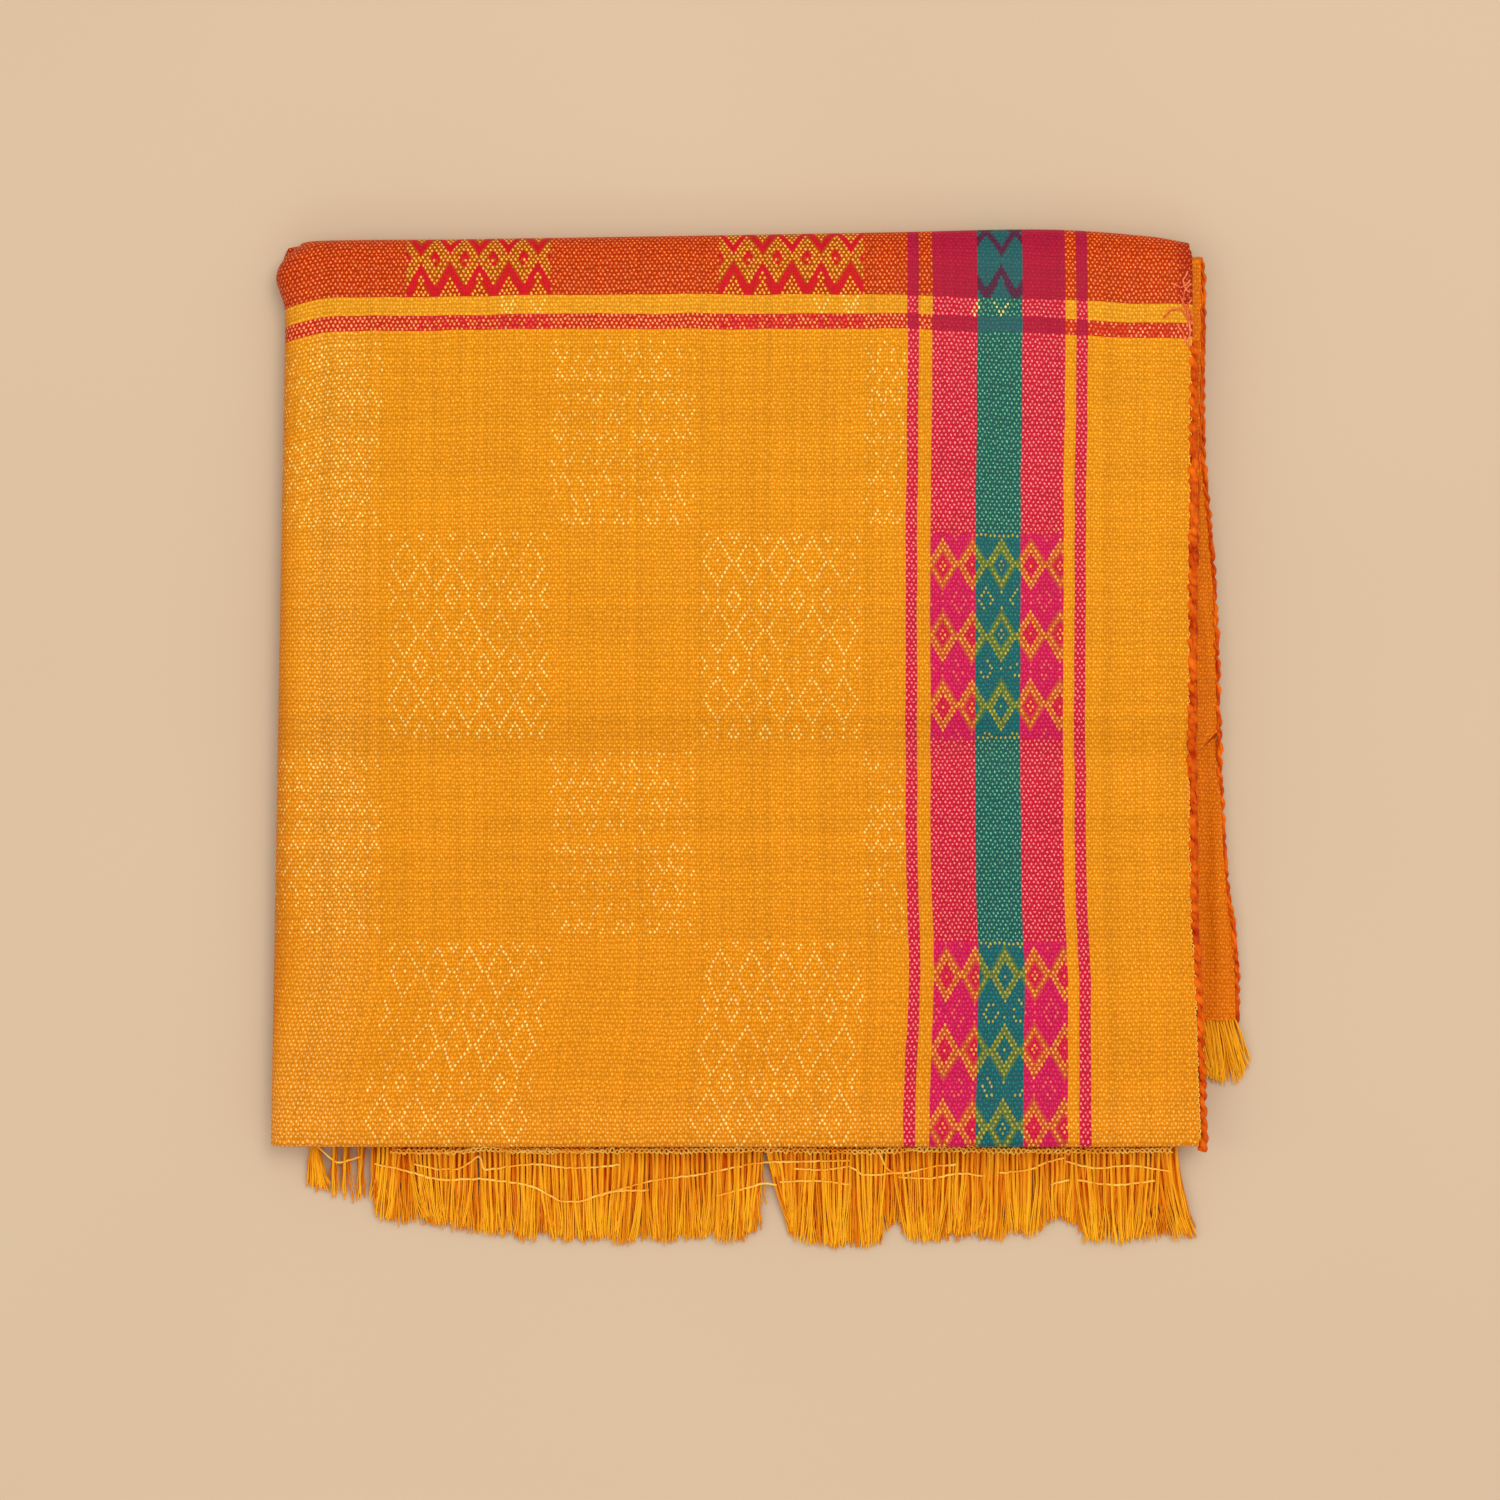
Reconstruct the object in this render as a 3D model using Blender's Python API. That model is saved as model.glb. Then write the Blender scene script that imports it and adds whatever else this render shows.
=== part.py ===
"""Folded stole with a fringe, lying on a flat surface.

Metres, +Z up.  +X is the side where the selvedges lie together, -X is the
lengthwise fold, +Y is the back roll and -Y is the front fold with the fringe.
The underside of the lowest stretch lies in the plane z = 0.
"""
import bpy
import bmesh
import math

# ---------------------------------------------------------------- sizes
MM = 0.001
GAP = 0.3 * MM
WALL = 2.4 * MM
EDGE_ROUND = 1.3 * MM
STACK_TOP = 17.0 * MM
LEFT_ROLL = 9.0 * MM
LEFT_DROP = 8.6 * MM
RIGHT_SAG = 1.6 * MM
BACK_SAG = 1.2 * MM
FRONT_RISE = 0.7 * MM
FRONT_FOLD = -154.3 * MM
FRONT_ROLL = 2.9 * MM
PALLU_LINE = 156.0 * MM
CREASE_Y = 0.5 * MM
CREASE_DEPTH = 0.9 * MM
CREASE_HALF = 9.0 * MM
ROOT_Y = -150.0 * MM
CORE_RIGHT = 157.5 * MM
CORE_FRONT = -144.5 * MM
CORE_INSET = 6.0 * MM
FAN_TOP = 8.6 * MM
CORD_SIDES = 8

# Outlines in millimetres, from the back (+Y) to the front (-Y).
LEFT_EDGE = (
    # y, x
    (190.0, -176.0),
    (184.0, -182.2),
    (177.3, -184.9),
    (166.0, -181.6),
    (155.0, -181.4),
    (92.0, -182.5),
    (0.0, -184.1),
    (-92.0, -185.7),
    (-156.0, -186.8),
)
TOP_RIGHT_EDGE = (
    # y, x
    (190.0, 162.6),
    (156.0, 162.6),
    (92.0, 161.9),
    (0.0, 161.7),
    (-66.0, 162.4),
    (-92.0, 164.0),
    (-156.0, 165.8),
)
MIDDLE_RIGHT_EDGE = (
    # y, x
    (185.0, 167.0),
    (150.0, 167.0),
    (110.0, 166.2),
    (60.0, 165.2),
    (0.0, 165.0),
    (-80.0, 165.6),
    (-151.0, 166.4),
)
END_RIGHT_EDGE = (
    # y, x, height of the edge
    (110.0, 167.8, 8.0),
    (104.0, 168.8, 7.9),
    (62.0, 171.8, 7.3),
    (35.0, 173.0, 6.8),
    (5.0, 173.8, 6.3),
    (-49.0, 176.6, 5.4),
    (-75.0, 180.0, 4.9),
    (-107.0, 181.0, 4.4),
)
END_CORD_PATH = (
    # y, x, z of the middle of the cord
    (184.0, 168.8, 11.2),
    (150.0, 168.9, 10.8),
    (110.0, 170.1, 8.2),
    (84.0, 172.3, 6.6),
    (62.0, 174.0, 6.1),
    (35.0, 175.2, 5.6),
    (5.0, 176.0, 5.1),
    (-20.0, 177.3, 4.6),
    (-49.0, 178.9, 4.2),
    (-75.0, 182.3, 3.7),
    (-106.0, 183.3, 3.1),
)
TOP_CORD_PATH = (
    # y, x, z of the middle of the cord
    (152.0, 164.4, 14.1),
    (92.0, 163.9, 14.1),
    (40.0, 163.6, 13.9),
    (0.0, 163.7, 13.8),
    (-66.0, 164.4, 13.7),
    (-92.0, 166.1, 13.3),
    (-156.0, 168.3, 12.5),
)
BACK_EDGE = (
    # x, y
    (-187.0, 187.0),
    (-176.0, 188.6),
    (-120.0, 189.2),
    (52.0, 192.1),
    (109.0, 193.6),
    (147.0, 191.4),
    (163.0, 188.7),
)
FRINGE = (
    # x at the fold, x at the tip, y of the tip
    (-175.8, -175.0, -171.0),
    (-166.0, -165.6, -172.0),
    (-163.4, -163.0, -175.2),
    (-149.0, -149.0, -175.4),
    (-148.0, -147.6, -182.4),
    (-130.0, -130.0, -184.4),
    (-112.0, -112.0, -187.4),
    (-71.0, -71.0, -191.4),
    (-47.0, -47.0, -190.8),
    (-24.0, -24.0, -190.8),
    (-2.0, -0.5, -188.8),
    (1.6, 2.0, -171.0),
    (8.0, 9.4, -171.0),
    (10.0, 12.4, -187.4),
    (30.0, 32.0, -193.0),
    (44.0, 46.4, -192.0),
    (48.4, 49.6, -184.6),
    (54.0, 55.6, -184.6),
    (56.0, 57.4, -190.8),
    (84.0, 85.0, -189.6),
    (107.0, 110.0, -187.8),
    (110.6, 112.4, -183.6),
    (121.0, 123.4, -183.6),
    (123.4, 126.0, -190.8),
    (142.0, 148.0, -191.6),
    (156.8, 161.4, -189.6),
)
END_FRINGE = (
    # x at the cloth, x at the tip, y of the tip
    (165.6, 166.2, -126.5),
    (169.0, 171.0, -129.0),
    (173.0, 177.0, -130.4),
    (178.4, 183.0, -128.8),
    (181.2, 186.6, -122.0),
)

# Colours, linear RGB.
YELLOW = (0.83, 0.31, 0.015)
RED = (0.56, 0.075, 0.015)
ORANGE = (0.60, 0.10, 0.006)
GOLD = (0.72, 0.25, 0.015)
SHADED = (0.60, 0.17, 0.007)


# ---------------------------------------------------------------- helpers
def along(table, place, column=1):
    """Value of one column of a table at a place on its first column, smoothly joined."""
    rows = sorted(table)
    if place <= rows[0][0]:
        return rows[0][column] * MM
    for low, high in zip(rows, rows[1:]):
        if place <= high[0]:
            share = (place - low[0]) / (high[0] - low[0])
            return (low[column] + (high[column] - low[column]) * share) * MM
    return rows[-1][column] * MM


def left_edge(y):
    return along(LEFT_EDGE, y / MM)


def smooth(share):
    share = min(max(share, 0.0), 1.0)
    return share * share * (3.0 - 2.0 * share)


def stack_top(x, y):
    """Height of the top face: rolled down at the left, sagging at the selvedges, with one crease across."""
    height = STACK_TOP
    inset = max(x - left_edge(y), 0.0)
    if inset < LEFT_ROLL:
        share = 1.0 - inset / LEFT_ROLL
        height -= LEFT_DROP * (1.0 - math.sqrt(1.0 - 0.985 * share * share))
    height -= RIGHT_SAG * smooth((x - 120.0 * MM) / (45.0 * MM))
    height -= BACK_SAG * smooth((y - 150.0 * MM) / (40.0 * MM))
    height += FRONT_RISE * smooth((-125.0 * MM - y) / (25.0 * MM))
    across = abs(y - CREASE_Y) / CREASE_HALF
    if across < 1.0:
        reach = smooth((x + 125.0 * MM) / (60.0 * MM))
        height -= CREASE_DEPTH * reach * (1.0 - across) ** 2
    return height


def wall_at(x, y):
    """Thickness of the doubled cloth, rounded off at the lengthwise fold."""
    inset = x - left_edge(y)
    if inset >= EDGE_ROUND:
        return WALL
    share = 1.0 - max(inset, 0.0) / EDGE_ROUND
    return WALL * max(math.sqrt(1.0 - 0.93 * share * share), 0.2)


def stations(start, end, count):
    return [start + (end - start) * k / (count - 1) for k in range(count)]


def material(name, colour, roughness):
    made = bpy.data.materials.new(name)
    made.use_nodes = True
    shader = made.node_tree.nodes["Principled BSDF"]
    shader.inputs["Base Color"].default_value = (*colour, 1.0)
    shader.inputs["Roughness"].default_value = roughness
    shader.inputs["Metallic"].default_value = 0.0
    return made


def finish_object(name, points, faces, made_of):
    mesh = bpy.data.meshes.new(name)
    mesh.from_pydata(points, [], faces)
    mesh.materials.append(made_of)
    shape = bmesh.new()
    shape.from_mesh(mesh)
    bmesh.ops.triangulate(shape, faces=shape.faces[:])
    bmesh.ops.recalc_face_normals(shape, faces=shape.faces[:])
    shape.to_mesh(mesh)
    shape.free()
    made = bpy.data.objects.new(name, mesh)
    bpy.context.scene.collection.objects.link(made)
    return made


def closed_wall(name, outer, inner, made_of):
    """A closed wall between two grids of the same size: two faces and four rims."""
    rows = len(outer)
    columns = len(outer[0])
    points = [p for row in outer for p in row] + [p for row in inner for p in row]
    second = rows * columns
    faces = []
    for i in range(rows - 1):
        for j in range(columns - 1):
            a = i * columns + j
            faces.append((a, a + 1, a + columns + 1, a + columns))
            faces.append((second + a, second + a + columns, second + a + columns + 1, second + a + 1))
    for j in range(columns - 1):
        last = (rows - 1) * columns + j
        faces.append((j, second + j, second + j + 1, j + 1))
        faces.append((last, last + 1, second + last + 1, second + last))
    for i in range(rows - 1):
        a = i * columns
        b = a + columns - 1
        faces.append((a, a + columns, second + a + columns, second + a))
        faces.append((b, second + b, second + b + columns, b + columns))
    return finish_object(name, points, faces, made_of)


def loft(name, rings, made_of):
    """A closed solid through rings of equally many points, with flat ends."""
    count = len(rings[0])
    points = [p for ring in rings for p in ring]
    faces = []
    for r in range(len(rings) - 1):
        for k in range(count):
            a = r * count + k
            b = r * count + (k + 1) % count
            faces.append((a, b, b + count, a + count))
    faces.append(tuple(range(count)))
    last = (len(rings) - 1) * count
    faces.append(tuple(last + k for k in range(count)))
    return finish_object(name, points, faces, made_of)


# ---------------------------------------------------------------- pieces
def width_shares():
    """Shares of the width, close together on the left roll and at the rounded fold."""
    near = [0.0, 0.4, 1.3, 2.6, 4.4, 6.6, 9.2]
    return [n * MM for n in near], stations(0.05, 1.0, 16)


def across_points(y, right):
    """x positions from the lengthwise fold to the selvedge at one y."""
    left = left_edge(y)
    near, far = width_shares()
    start = left + near[-1]
    return [left + n for n in near] + [start + (right - start) * f for f in far]


def pallu_panel(made_of):
    """Flat stretch on the surface, round the back roll, forward to the red and yellow line."""
    flat_ys = stations(ROOT_Y, 165.0 * MM, 12)
    roll_steps = 12
    top_ys = stations(172.0 * MM, PALLU_LINE + 0.5 * GAP, 4)
    outer = []
    inner = []
    columns = len(across_points(0.0, 0.16))
    for y in flat_ys:
        right = along(TOP_RIGHT_EDGE, y / MM) - 1.5 * MM
        inset = 9.0 * MM * smooth((120.0 * MM - y) / (200.0 * MM))
        row_out = []
        row_in = []
        for x in across_points(y, right):
            share = (right - x) / (right - left_edge(y))
            wall = wall_at(x, y)
            lift = 0.5 * (WALL - wall)
            row_out.append((x + inset * share, y, lift))
            row_in.append((x + inset * share, y, lift + wall))
        outer.append(row_out)
        inner.append(row_in)
    for k in range(roll_steps + 1):
        angle = -0.5 * math.pi + math.pi * k / roll_steps
        row_out = []
        row_in = []
        for j in range(columns):
            y_mid = 178.0 * MM
            x = across_points(y_mid, along(TOP_RIGHT_EDGE, y_mid / MM) - 1.5 * MM * (1.0 - k / roll_steps))[j]
            back = along(BACK_EDGE, x / MM)
            height = stack_top(x, y_mid)
            radius = 0.5 * height
            reach = back - y_mid
            wall = min(wall_at(x, y_mid), 0.7 * height)
            lift = 0.5 * (WALL - wall_at(x, y_mid))
            bulge = 0.6 * MM * math.cos(angle) ** 2
            row_out.append((
                x,
                y_mid + (reach + bulge - 0.6 * MM) * math.cos(angle),
                radius + (radius - lift) * math.sin(angle),
            ))
            row_in.append((
                x,
                y_mid + (reach + bulge - 0.6 * MM - wall) * math.cos(angle),
                radius + (radius - lift - wall) * math.sin(angle),
            ))
        outer.append(row_out)
        inner.append(row_in)
    for y in top_ys:
        row_out = []
        row_in = []
        for x in across_points(y, along(TOP_RIGHT_EDGE, y / MM)):
            wall = wall_at(x, y)
            height = stack_top(x, y) - 0.5 * (WALL - wall)
            row_out.append((x, y, height))
            row_in.append((x, y, height - wall))
        outer.append(row_out)
        inner.append(row_in)
    return closed_wall("pallu_panel", outer, inner, made_of)


def top_panel(made_of):
    """Top face from the red and yellow line to the front, turned under at the front fold."""
    ys = [PALLU_LINE - 0.5 * GAP, 150.0 * MM, 130.0 * MM, 105.0 * MM, 80.0 * MM, 55.0 * MM, 30.0 * MM]
    ys += [14.0 * MM, 9.0 * MM, 5.5 * MM, 2.6 * MM, CREASE_Y, -1.8 * MM, -5.0 * MM, -8.5 * MM, -14.0 * MM]
    ys += [-35.0 * MM, -60.0 * MM, -85.0 * MM, -105.0 * MM, -122.0 * MM, -134.0 * MM, -144.0 * MM]
    turn = FRONT_FOLD + FRONT_ROLL
    ys.append(turn)
    outer = []
    inner = []
    for y in ys:
        row_out = []
        row_in = []
        for x in across_points(y, along(TOP_RIGHT_EDGE, y / MM)):
            wall = wall_at(x, y)
            height = stack_top(x, y) - 0.5 * (WALL - wall)
            row_out.append((x, y, height))
            row_in.append((x, y, height - wall))
        outer.append(row_out)
        inner.append(row_in)
    steps = 7
    for k in range(1, steps + 1):
        angle = 0.5 * math.pi - math.pi * k / steps
        row_out = []
        row_in = []
        for x in across_points(turn, along(TOP_RIGHT_EDGE, turn / MM)):
            wall = wall_at(x, turn)
            lift = 0.5 * (WALL - wall)
            middle = stack_top(x, turn) - FRONT_ROLL
            rim = FRONT_ROLL - lift
            row_out.append((x, turn - rim * math.cos(angle), middle + rim * math.sin(angle)))
            rim -= wall
            row_in.append((x, turn - rim * math.cos(angle), middle + rim * math.sin(angle)))
        outer.append(row_out)
        inner.append(row_in)
    row_out = []
    row_in = []
    for x in across_points(turn, along(TOP_RIGHT_EDGE, turn / MM)):
        wall = wall_at(x, turn)
        lift = 0.5 * (WALL - wall)
        low = stack_top(x, turn) - 2.0 * FRONT_ROLL + lift
        row_out.append((x, turn + 4.0 * MM, low))
        row_in.append((x, turn + 4.0 * MM, low + wall))
    outer.append(row_out)
    inner.append(row_in)
    return closed_wall("top_panel", outer, inner, made_of)


def core_profile(x):
    """Section of the hidden layers in the yz plane: layered at the front, rounded at the back."""
    inset = max(x - (left_edge(0.0) + CORE_INSET + 3.0 * MM), 0.0)
    squeeze = 0.35 + 0.65 * math.sqrt(1.0 - (1.0 - min(inset / (11.0 * MM), 1.0)) ** 2)
    low = WALL + GAP
    back = along(BACK_EDGE, x / MM) - WALL - 1.4 * MM - 4.0 * MM * (1.0 - squeeze)

    def level(share, y):
        """Height at a share of the room under the top stretch."""
        top = stack_top(x, y) - WALL - GAP
        top = min(top, stack_top(x, 178.0 * MM) - WALL - 2.0 * GAP) if y > 165.0 * MM else top
        return low + (top - low) * share * squeeze

    ring = []
    front_low = -152.6 * MM
    fold_high = (STACK_TOP + FRONT_RISE - 2.0 * FRONT_ROLL - 2.2 * GAP - low) / (STACK_TOP - WALL - GAP - low)
    layer_rows = (
        # y of the layer edge, share of the height
        (front_low + 2.6 * MM, 0.0),
        (front_low + 0.7 * MM, 0.05),
        (front_low, 0.16),
        (front_low + 0.7 * MM, 0.27),
        (front_low + 2.4 * MM, 0.31),
        (front_low + 1.9 * MM, 0.36),
        (front_low + 1.2 * MM, 0.46),
        (front_low + 2.6 * MM, 0.60),
    )
    for y, share in layer_rows:
        ring.append((y, level(share * fold_high / 0.66, y)))
    ring.append((CORE_FRONT - 1.0 * MM, level(fold_high * 0.93, -140.0 * MM)))
    for y in (CORE_FRONT, -134.0 * MM, -122.0 * MM, -85.0 * MM, -35.0 * MM, -8.5 * MM, CREASE_Y, 9.0 * MM, 55.0 * MM, 105.0 * MM, 150.0 * MM, 165.0 * MM):
        ring.append((y, level(1.0, y)))
    y_mid = 176.0 * MM
    half = 0.5 * (level(1.0, y_mid) - low)
    for k in range(7):
        angle = 0.5 * math.pi - math.pi * k / 6
        ring.append((y_mid + (back - y_mid) * math.cos(angle), low + half + half * math.sin(angle)))
    for y in (150.0 * MM, 55.0 * MM, -35.0 * MM, -122.0 * MM):
        ring.append((y, low))
    return ring


def folded_core(made_of):
    """The hidden layers as one rounded solid."""
    start = left_edge(0.0) + CORE_INSET + 3.0 * MM
    offsets = [0.0, 0.8 * MM, 2.4 * MM, 5.0 * MM, 8.5 * MM, 12.0 * MM]
    xs = [start + o for o in offsets] + stations(start + 30.0 * MM, CORE_RIGHT, 14)
    rings = [[(x, y, z) for y, z in core_profile(x)] for x in xs]
    return loft("folded_core", rings, made_of)


def side_slab(name, ys, near_x, near_low, near_high, edge, made_of):
    """A stretch that stands out at the right: thick where it leaves the stack, one doubled cloth at the selvedge."""
    outer = []
    inner = []
    for y in ys:
        x_end, z_end = edge(y)
        row_out = []
        row_in = []
        for share in (0.0, 0.3, 0.6, 0.85, 1.0):
            x = near_x + (x_end - near_x) * share
            wall_end = 0.55 * WALL if share == 1.0 else WALL
            high = near_high(x, y) + (z_end - near_high(x, y)) * smooth(share)
            thick = (near_high(near_x, y) - near_low) * (1.0 - share) + wall_end * share
            row_out.append((x, y, high))
            row_in.append((x, y, high - thick))
        outer.append(row_out)
        inner.append(row_in)
    return closed_wall(name, outer, inner, made_of)


def middle_panel(made_of):
    def high(x, y):
        front = -146.0 * MM
        room = stack_top(x, max(y, front)) - WALL - GAP
        return room - 0.3 * MM

    def edge(y):
        x = along(MIDDLE_RIGHT_EDGE, y / MM)
        return x, 10.6 * MM

    ys = [-145.0 * MM, -120.0 * MM, -80.0 * MM, -40.0 * MM, -8.0 * MM, CREASE_Y, 8.0 * MM]
    ys += [40.0 * MM, 75.0 * MM, 110.0 * MM, 140.0 * MM, 165.0 * MM, 176.0 * MM]
    return side_slab("middle_panel", ys, CORE_RIGHT + GAP, FAN_TOP + GAP, high, edge, made_of)


def end_panel(made_of):
    def high(x, y):
        return FAN_TOP

    def edge(y):
        return along(END_RIGHT_EDGE, y / MM), along(END_RIGHT_EDGE, y / MM, 2)

    ys = [-107.0 * MM, -91.0 * MM, -75.0 * MM, -62.0 * MM, -49.0 * MM, -22.0 * MM]
    ys += [5.0 * MM, 20.0 * MM, 35.0 * MM, 62.0 * MM, 84.0 * MM, 104.0 * MM]
    return side_slab("end_panel", ys, CORE_RIGHT + GAP, WALL + GAP, high, edge, made_of)


def cord(name, table, radius, made_of):
    """A rolled selvedge: a wavy round cord through the rows of a table."""
    start = table[0][0]
    end = table[-1][0]
    count = 34
    rings = []
    for k in range(count):
        y = start + (end - start) * k / (count - 1)
        x = along(table, y) + 0.22 * MM * math.sin(1.9 * k)
        z = along(table, y, 2) + 0.2 * MM * math.sin(2.7 * k + 1.0)
        end_share = min(k, count - 1 - k) / 2.0
        size = radius * (0.88 + 0.12 * math.sin(3.1 * k)) * min(0.55 + 0.45 * end_share, 1.0)
        ring = []
        for s in range(CORD_SIDES):
            angle = 2.0 * math.pi * s / CORD_SIDES
            ring.append((x + size * math.cos(angle), y * MM, z + size * math.sin(angle)))
        rings.append(ring)
    return loft(name, rings, made_of)


def fringe(name, table, root_y, heights, made_of):
    """Reach of the loose warp ends: a thin body from the cloth to the tips, with the gaps between the bunches."""
    shares = (0.0, 0.1, 0.3, 0.6, 0.85, 1.0)
    outer = []
    inner = []
    for root_x, tip_x, tip_y in table:
        row_out = []
        row_in = []
        for share, (low, high) in zip(shares, heights):
            x = (root_x + (tip_x - root_x) * share) * MM
            y = root_y + (tip_y * MM - root_y) * share
            row_out.append((x, y, high * MM))
            row_in.append((x, y, low * MM))
        outer.append(row_out)
        inner.append(row_in)
    return closed_wall(name, outer, inner, made_of)


def build():
    for old in list(bpy.data.objects):
        bpy.data.objects.remove(old, do_unlink=True)
    red = material("pallu_cloth", RED, 0.6)
    pallu_panel(red)
    yellow = material("body_cloth", YELLOW, 0.6)
    top_panel(yellow)
    folded_core(material("inner_cloth", SHADED, 0.65))
    middle_panel(material("middle_cloth", YELLOW, 0.6))
    end_panel(material("end_cloth", SHADED, 0.65))
    cord("selvedge_top", TOP_CORD_PATH, 1.5 * MM, material("selvedge_thread", ORANGE, 0.6))
    cord("selvedge_end", END_CORD_PATH, 1.4 * MM, material("selvedge_end_thread", ORANGE, 0.6))
    fringe_heights = ((0.0, 2.2), (0.0, 3.0), (0.0, 4.2), (0.0, 3.4), (0.0, 2.4), (0.0, 1.2))
    fringe("pallu_fringe", FRINGE, ROOT_Y - GAP, fringe_heights, material("fringe_thread", GOLD, 0.5))
    end_heights = ((2.9, 4.2), (2.6, 4.2), (1.8, 3.9), (0.9, 2.9), (0.2, 2.0), (0.0, 0.9))
    fringe("end_fringe", END_FRINGE, -107.0 * MM - GAP, end_heights, material("end_fringe_thread", GOLD, 0.5))


build()
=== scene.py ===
# %% [markdown]
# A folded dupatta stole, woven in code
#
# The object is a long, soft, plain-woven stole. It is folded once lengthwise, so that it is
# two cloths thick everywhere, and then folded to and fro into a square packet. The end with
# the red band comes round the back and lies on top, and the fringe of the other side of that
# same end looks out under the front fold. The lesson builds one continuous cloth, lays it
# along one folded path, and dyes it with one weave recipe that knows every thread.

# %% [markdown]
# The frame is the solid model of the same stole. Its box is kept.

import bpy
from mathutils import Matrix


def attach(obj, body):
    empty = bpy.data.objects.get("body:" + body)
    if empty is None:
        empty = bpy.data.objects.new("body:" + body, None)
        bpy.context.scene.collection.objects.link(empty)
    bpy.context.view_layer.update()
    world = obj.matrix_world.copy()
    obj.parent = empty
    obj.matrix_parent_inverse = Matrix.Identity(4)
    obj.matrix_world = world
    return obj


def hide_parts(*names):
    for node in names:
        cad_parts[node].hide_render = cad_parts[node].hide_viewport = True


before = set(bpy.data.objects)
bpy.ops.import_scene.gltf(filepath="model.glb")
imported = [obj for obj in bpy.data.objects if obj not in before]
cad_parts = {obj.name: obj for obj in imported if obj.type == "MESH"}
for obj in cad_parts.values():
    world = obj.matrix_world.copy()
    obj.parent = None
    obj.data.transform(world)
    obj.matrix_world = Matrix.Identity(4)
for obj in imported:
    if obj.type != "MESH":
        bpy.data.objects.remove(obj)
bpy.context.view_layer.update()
print("nodes:", sorted(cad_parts))

# %% [markdown]
# Lengths below are in millimetres, because cloth is, and `MM` turns them into Blender's metres.

# %% Tools
import math
import random

import bpy
from mathutils import Vector, noise

MM = 0.001

# %% [markdown]
# Materials and Geometry Nodes are both trees of nodes. Writing a tree by hand as node after node
# is hard to read, so one small class lets a socket behave like a number: `1 - mask` adds a Math
# node by itself. A tree's `node` method adds any other node: its settings are given first, and
# then the values or links of its sockets.

# %% A number that runs through a tree
class Wire:
    """One output of a node, which can be added, multiplied and compared like a number."""

    def __init__(self, tree, socket):
        self.tree = tree
        self.socket = socket

    def maths(self, operation, *others):
        return self.tree.node("ShaderNodeMath", {"operation": operation}, self, *others)

    def turned(self, operation, other):
        return self.tree.node("ShaderNodeMath", {"operation": operation}, other, self)

    def __add__(self, other):
        return self.maths("ADD", other)

    def __sub__(self, other):
        return self.maths("SUBTRACT", other)

    def __rsub__(self, other):
        return self.turned("SUBTRACT", other)

    def __mul__(self, other):
        return self.maths("MULTIPLY", other)

    def __truediv__(self, other):
        return self.maths("DIVIDE", other)

    def __mod__(self, other):
        return self.maths("FLOORED_MODULO", other)

    def __gt__(self, other):
        return self.maths("GREATER_THAN", other)

    def __lt__(self, other):
        return self.maths("LESS_THAN", other)

    def __abs__(self):
        return self.maths("ABSOLUTE")

    def floor(self):
        return self.maths("FLOOR")

    def least(self, other):
        return self.maths("MINIMUM", other)

    def most(self, other):
        return self.maths("MAXIMUM", other)

    def clamped(self):
        return self.least(1.0).most(0.0)

    def between(self, low, high):
        return (self > low) * (self < high)

    def near(self, value, reach=0.5):
        return abs(self - value) < reach

    __radd__ = __add__
    __rmul__ = __mul__


# %% [markdown]
# `Tree` is the other half: it adds a node, sets it, and plugs values or other wires into it.

# %% A tree that adds its own nodes
class Tree:
    """A node tree, and the way to add nodes to it."""

    def __init__(self, tree):
        self.tree = tree

    def feed(self, socket, value):
        if isinstance(value, Wire):
            self.tree.links.new(value.socket, socket)
        else:
            socket.default_value = value

    def node(self, kind, settings=None, *values, out=0, **named):
        made = self.tree.nodes.new(kind)
        for key, value in (settings or {}).items():
            setattr(made, key, value)
        for socket, value in zip(made.inputs, values):
            self.feed(socket, value)
        for key, value in named.items():
            self.feed(made.inputs[key.replace("_", " ")], value)
        return Wire(self, made.outputs[out])

    def split(self, vector):
        parts = self.node("ShaderNodeSeparateXYZ", {}, vector)
        return [Wire(self, socket) for socket in parts.socket.node.outputs]

    def join(self, x=0.0, y=0.0, z=0.0):
        return self.node("ShaderNodeCombineXYZ", {}, x, y, z)

    def vector(self, operation, *values):
        return self.node("ShaderNodeVectorMath", {"operation": operation}, *values)


# %% [markdown]
# The outlines are the same ones that the solid model was drawn from, in millimetres. Each is a
# short table of places, and `along` joins the places. A cosine join would show a kink at each
# row, so `along` uses a cubic that also looks at the neighbours of the two rows.

# %% Outlines of the packet
LEFT_EDGE = ((190.0, -176.0), (184.0, -182.2), (177.3, -184.9), (166.0, -181.6), (155.0, -181.4),
             (92.0, -182.5), (0.0, -184.1), (-92.0, -185.7), (-156.0, -186.8))
TOP_RIGHT_EDGE = ((190.0, 162.6), (156.0, 162.6), (92.0, 161.9), (0.0, 161.7), (-66.0, 162.4),
                  (-92.0, 164.0), (-156.0, 165.8))
MIDDLE_RIGHT_EDGE = ((185.0, 167.0), (150.0, 167.0), (110.0, 166.2), (60.0, 165.2), (0.0, 165.0),
                     (-80.0, 165.6), (-151.0, 166.4))
END_RIGHT_EDGE = ((178.0, 167.4), (150.0, 167.5), (110.0, 167.8), (104.0, 168.8), (62.0, 171.8),
                  (35.0, 173.0), (5.0, 173.8), (-49.0, 176.6), (-75.0, 180.0), (-107.0, 181.0))
BACK_EDGE = ((-187.0, 187.0), (-176.0, 188.6), (-120.0, 189.2), (52.0, 192.1), (109.0, 193.6),
             (147.0, 191.4), (163.0, 188.7))
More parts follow.
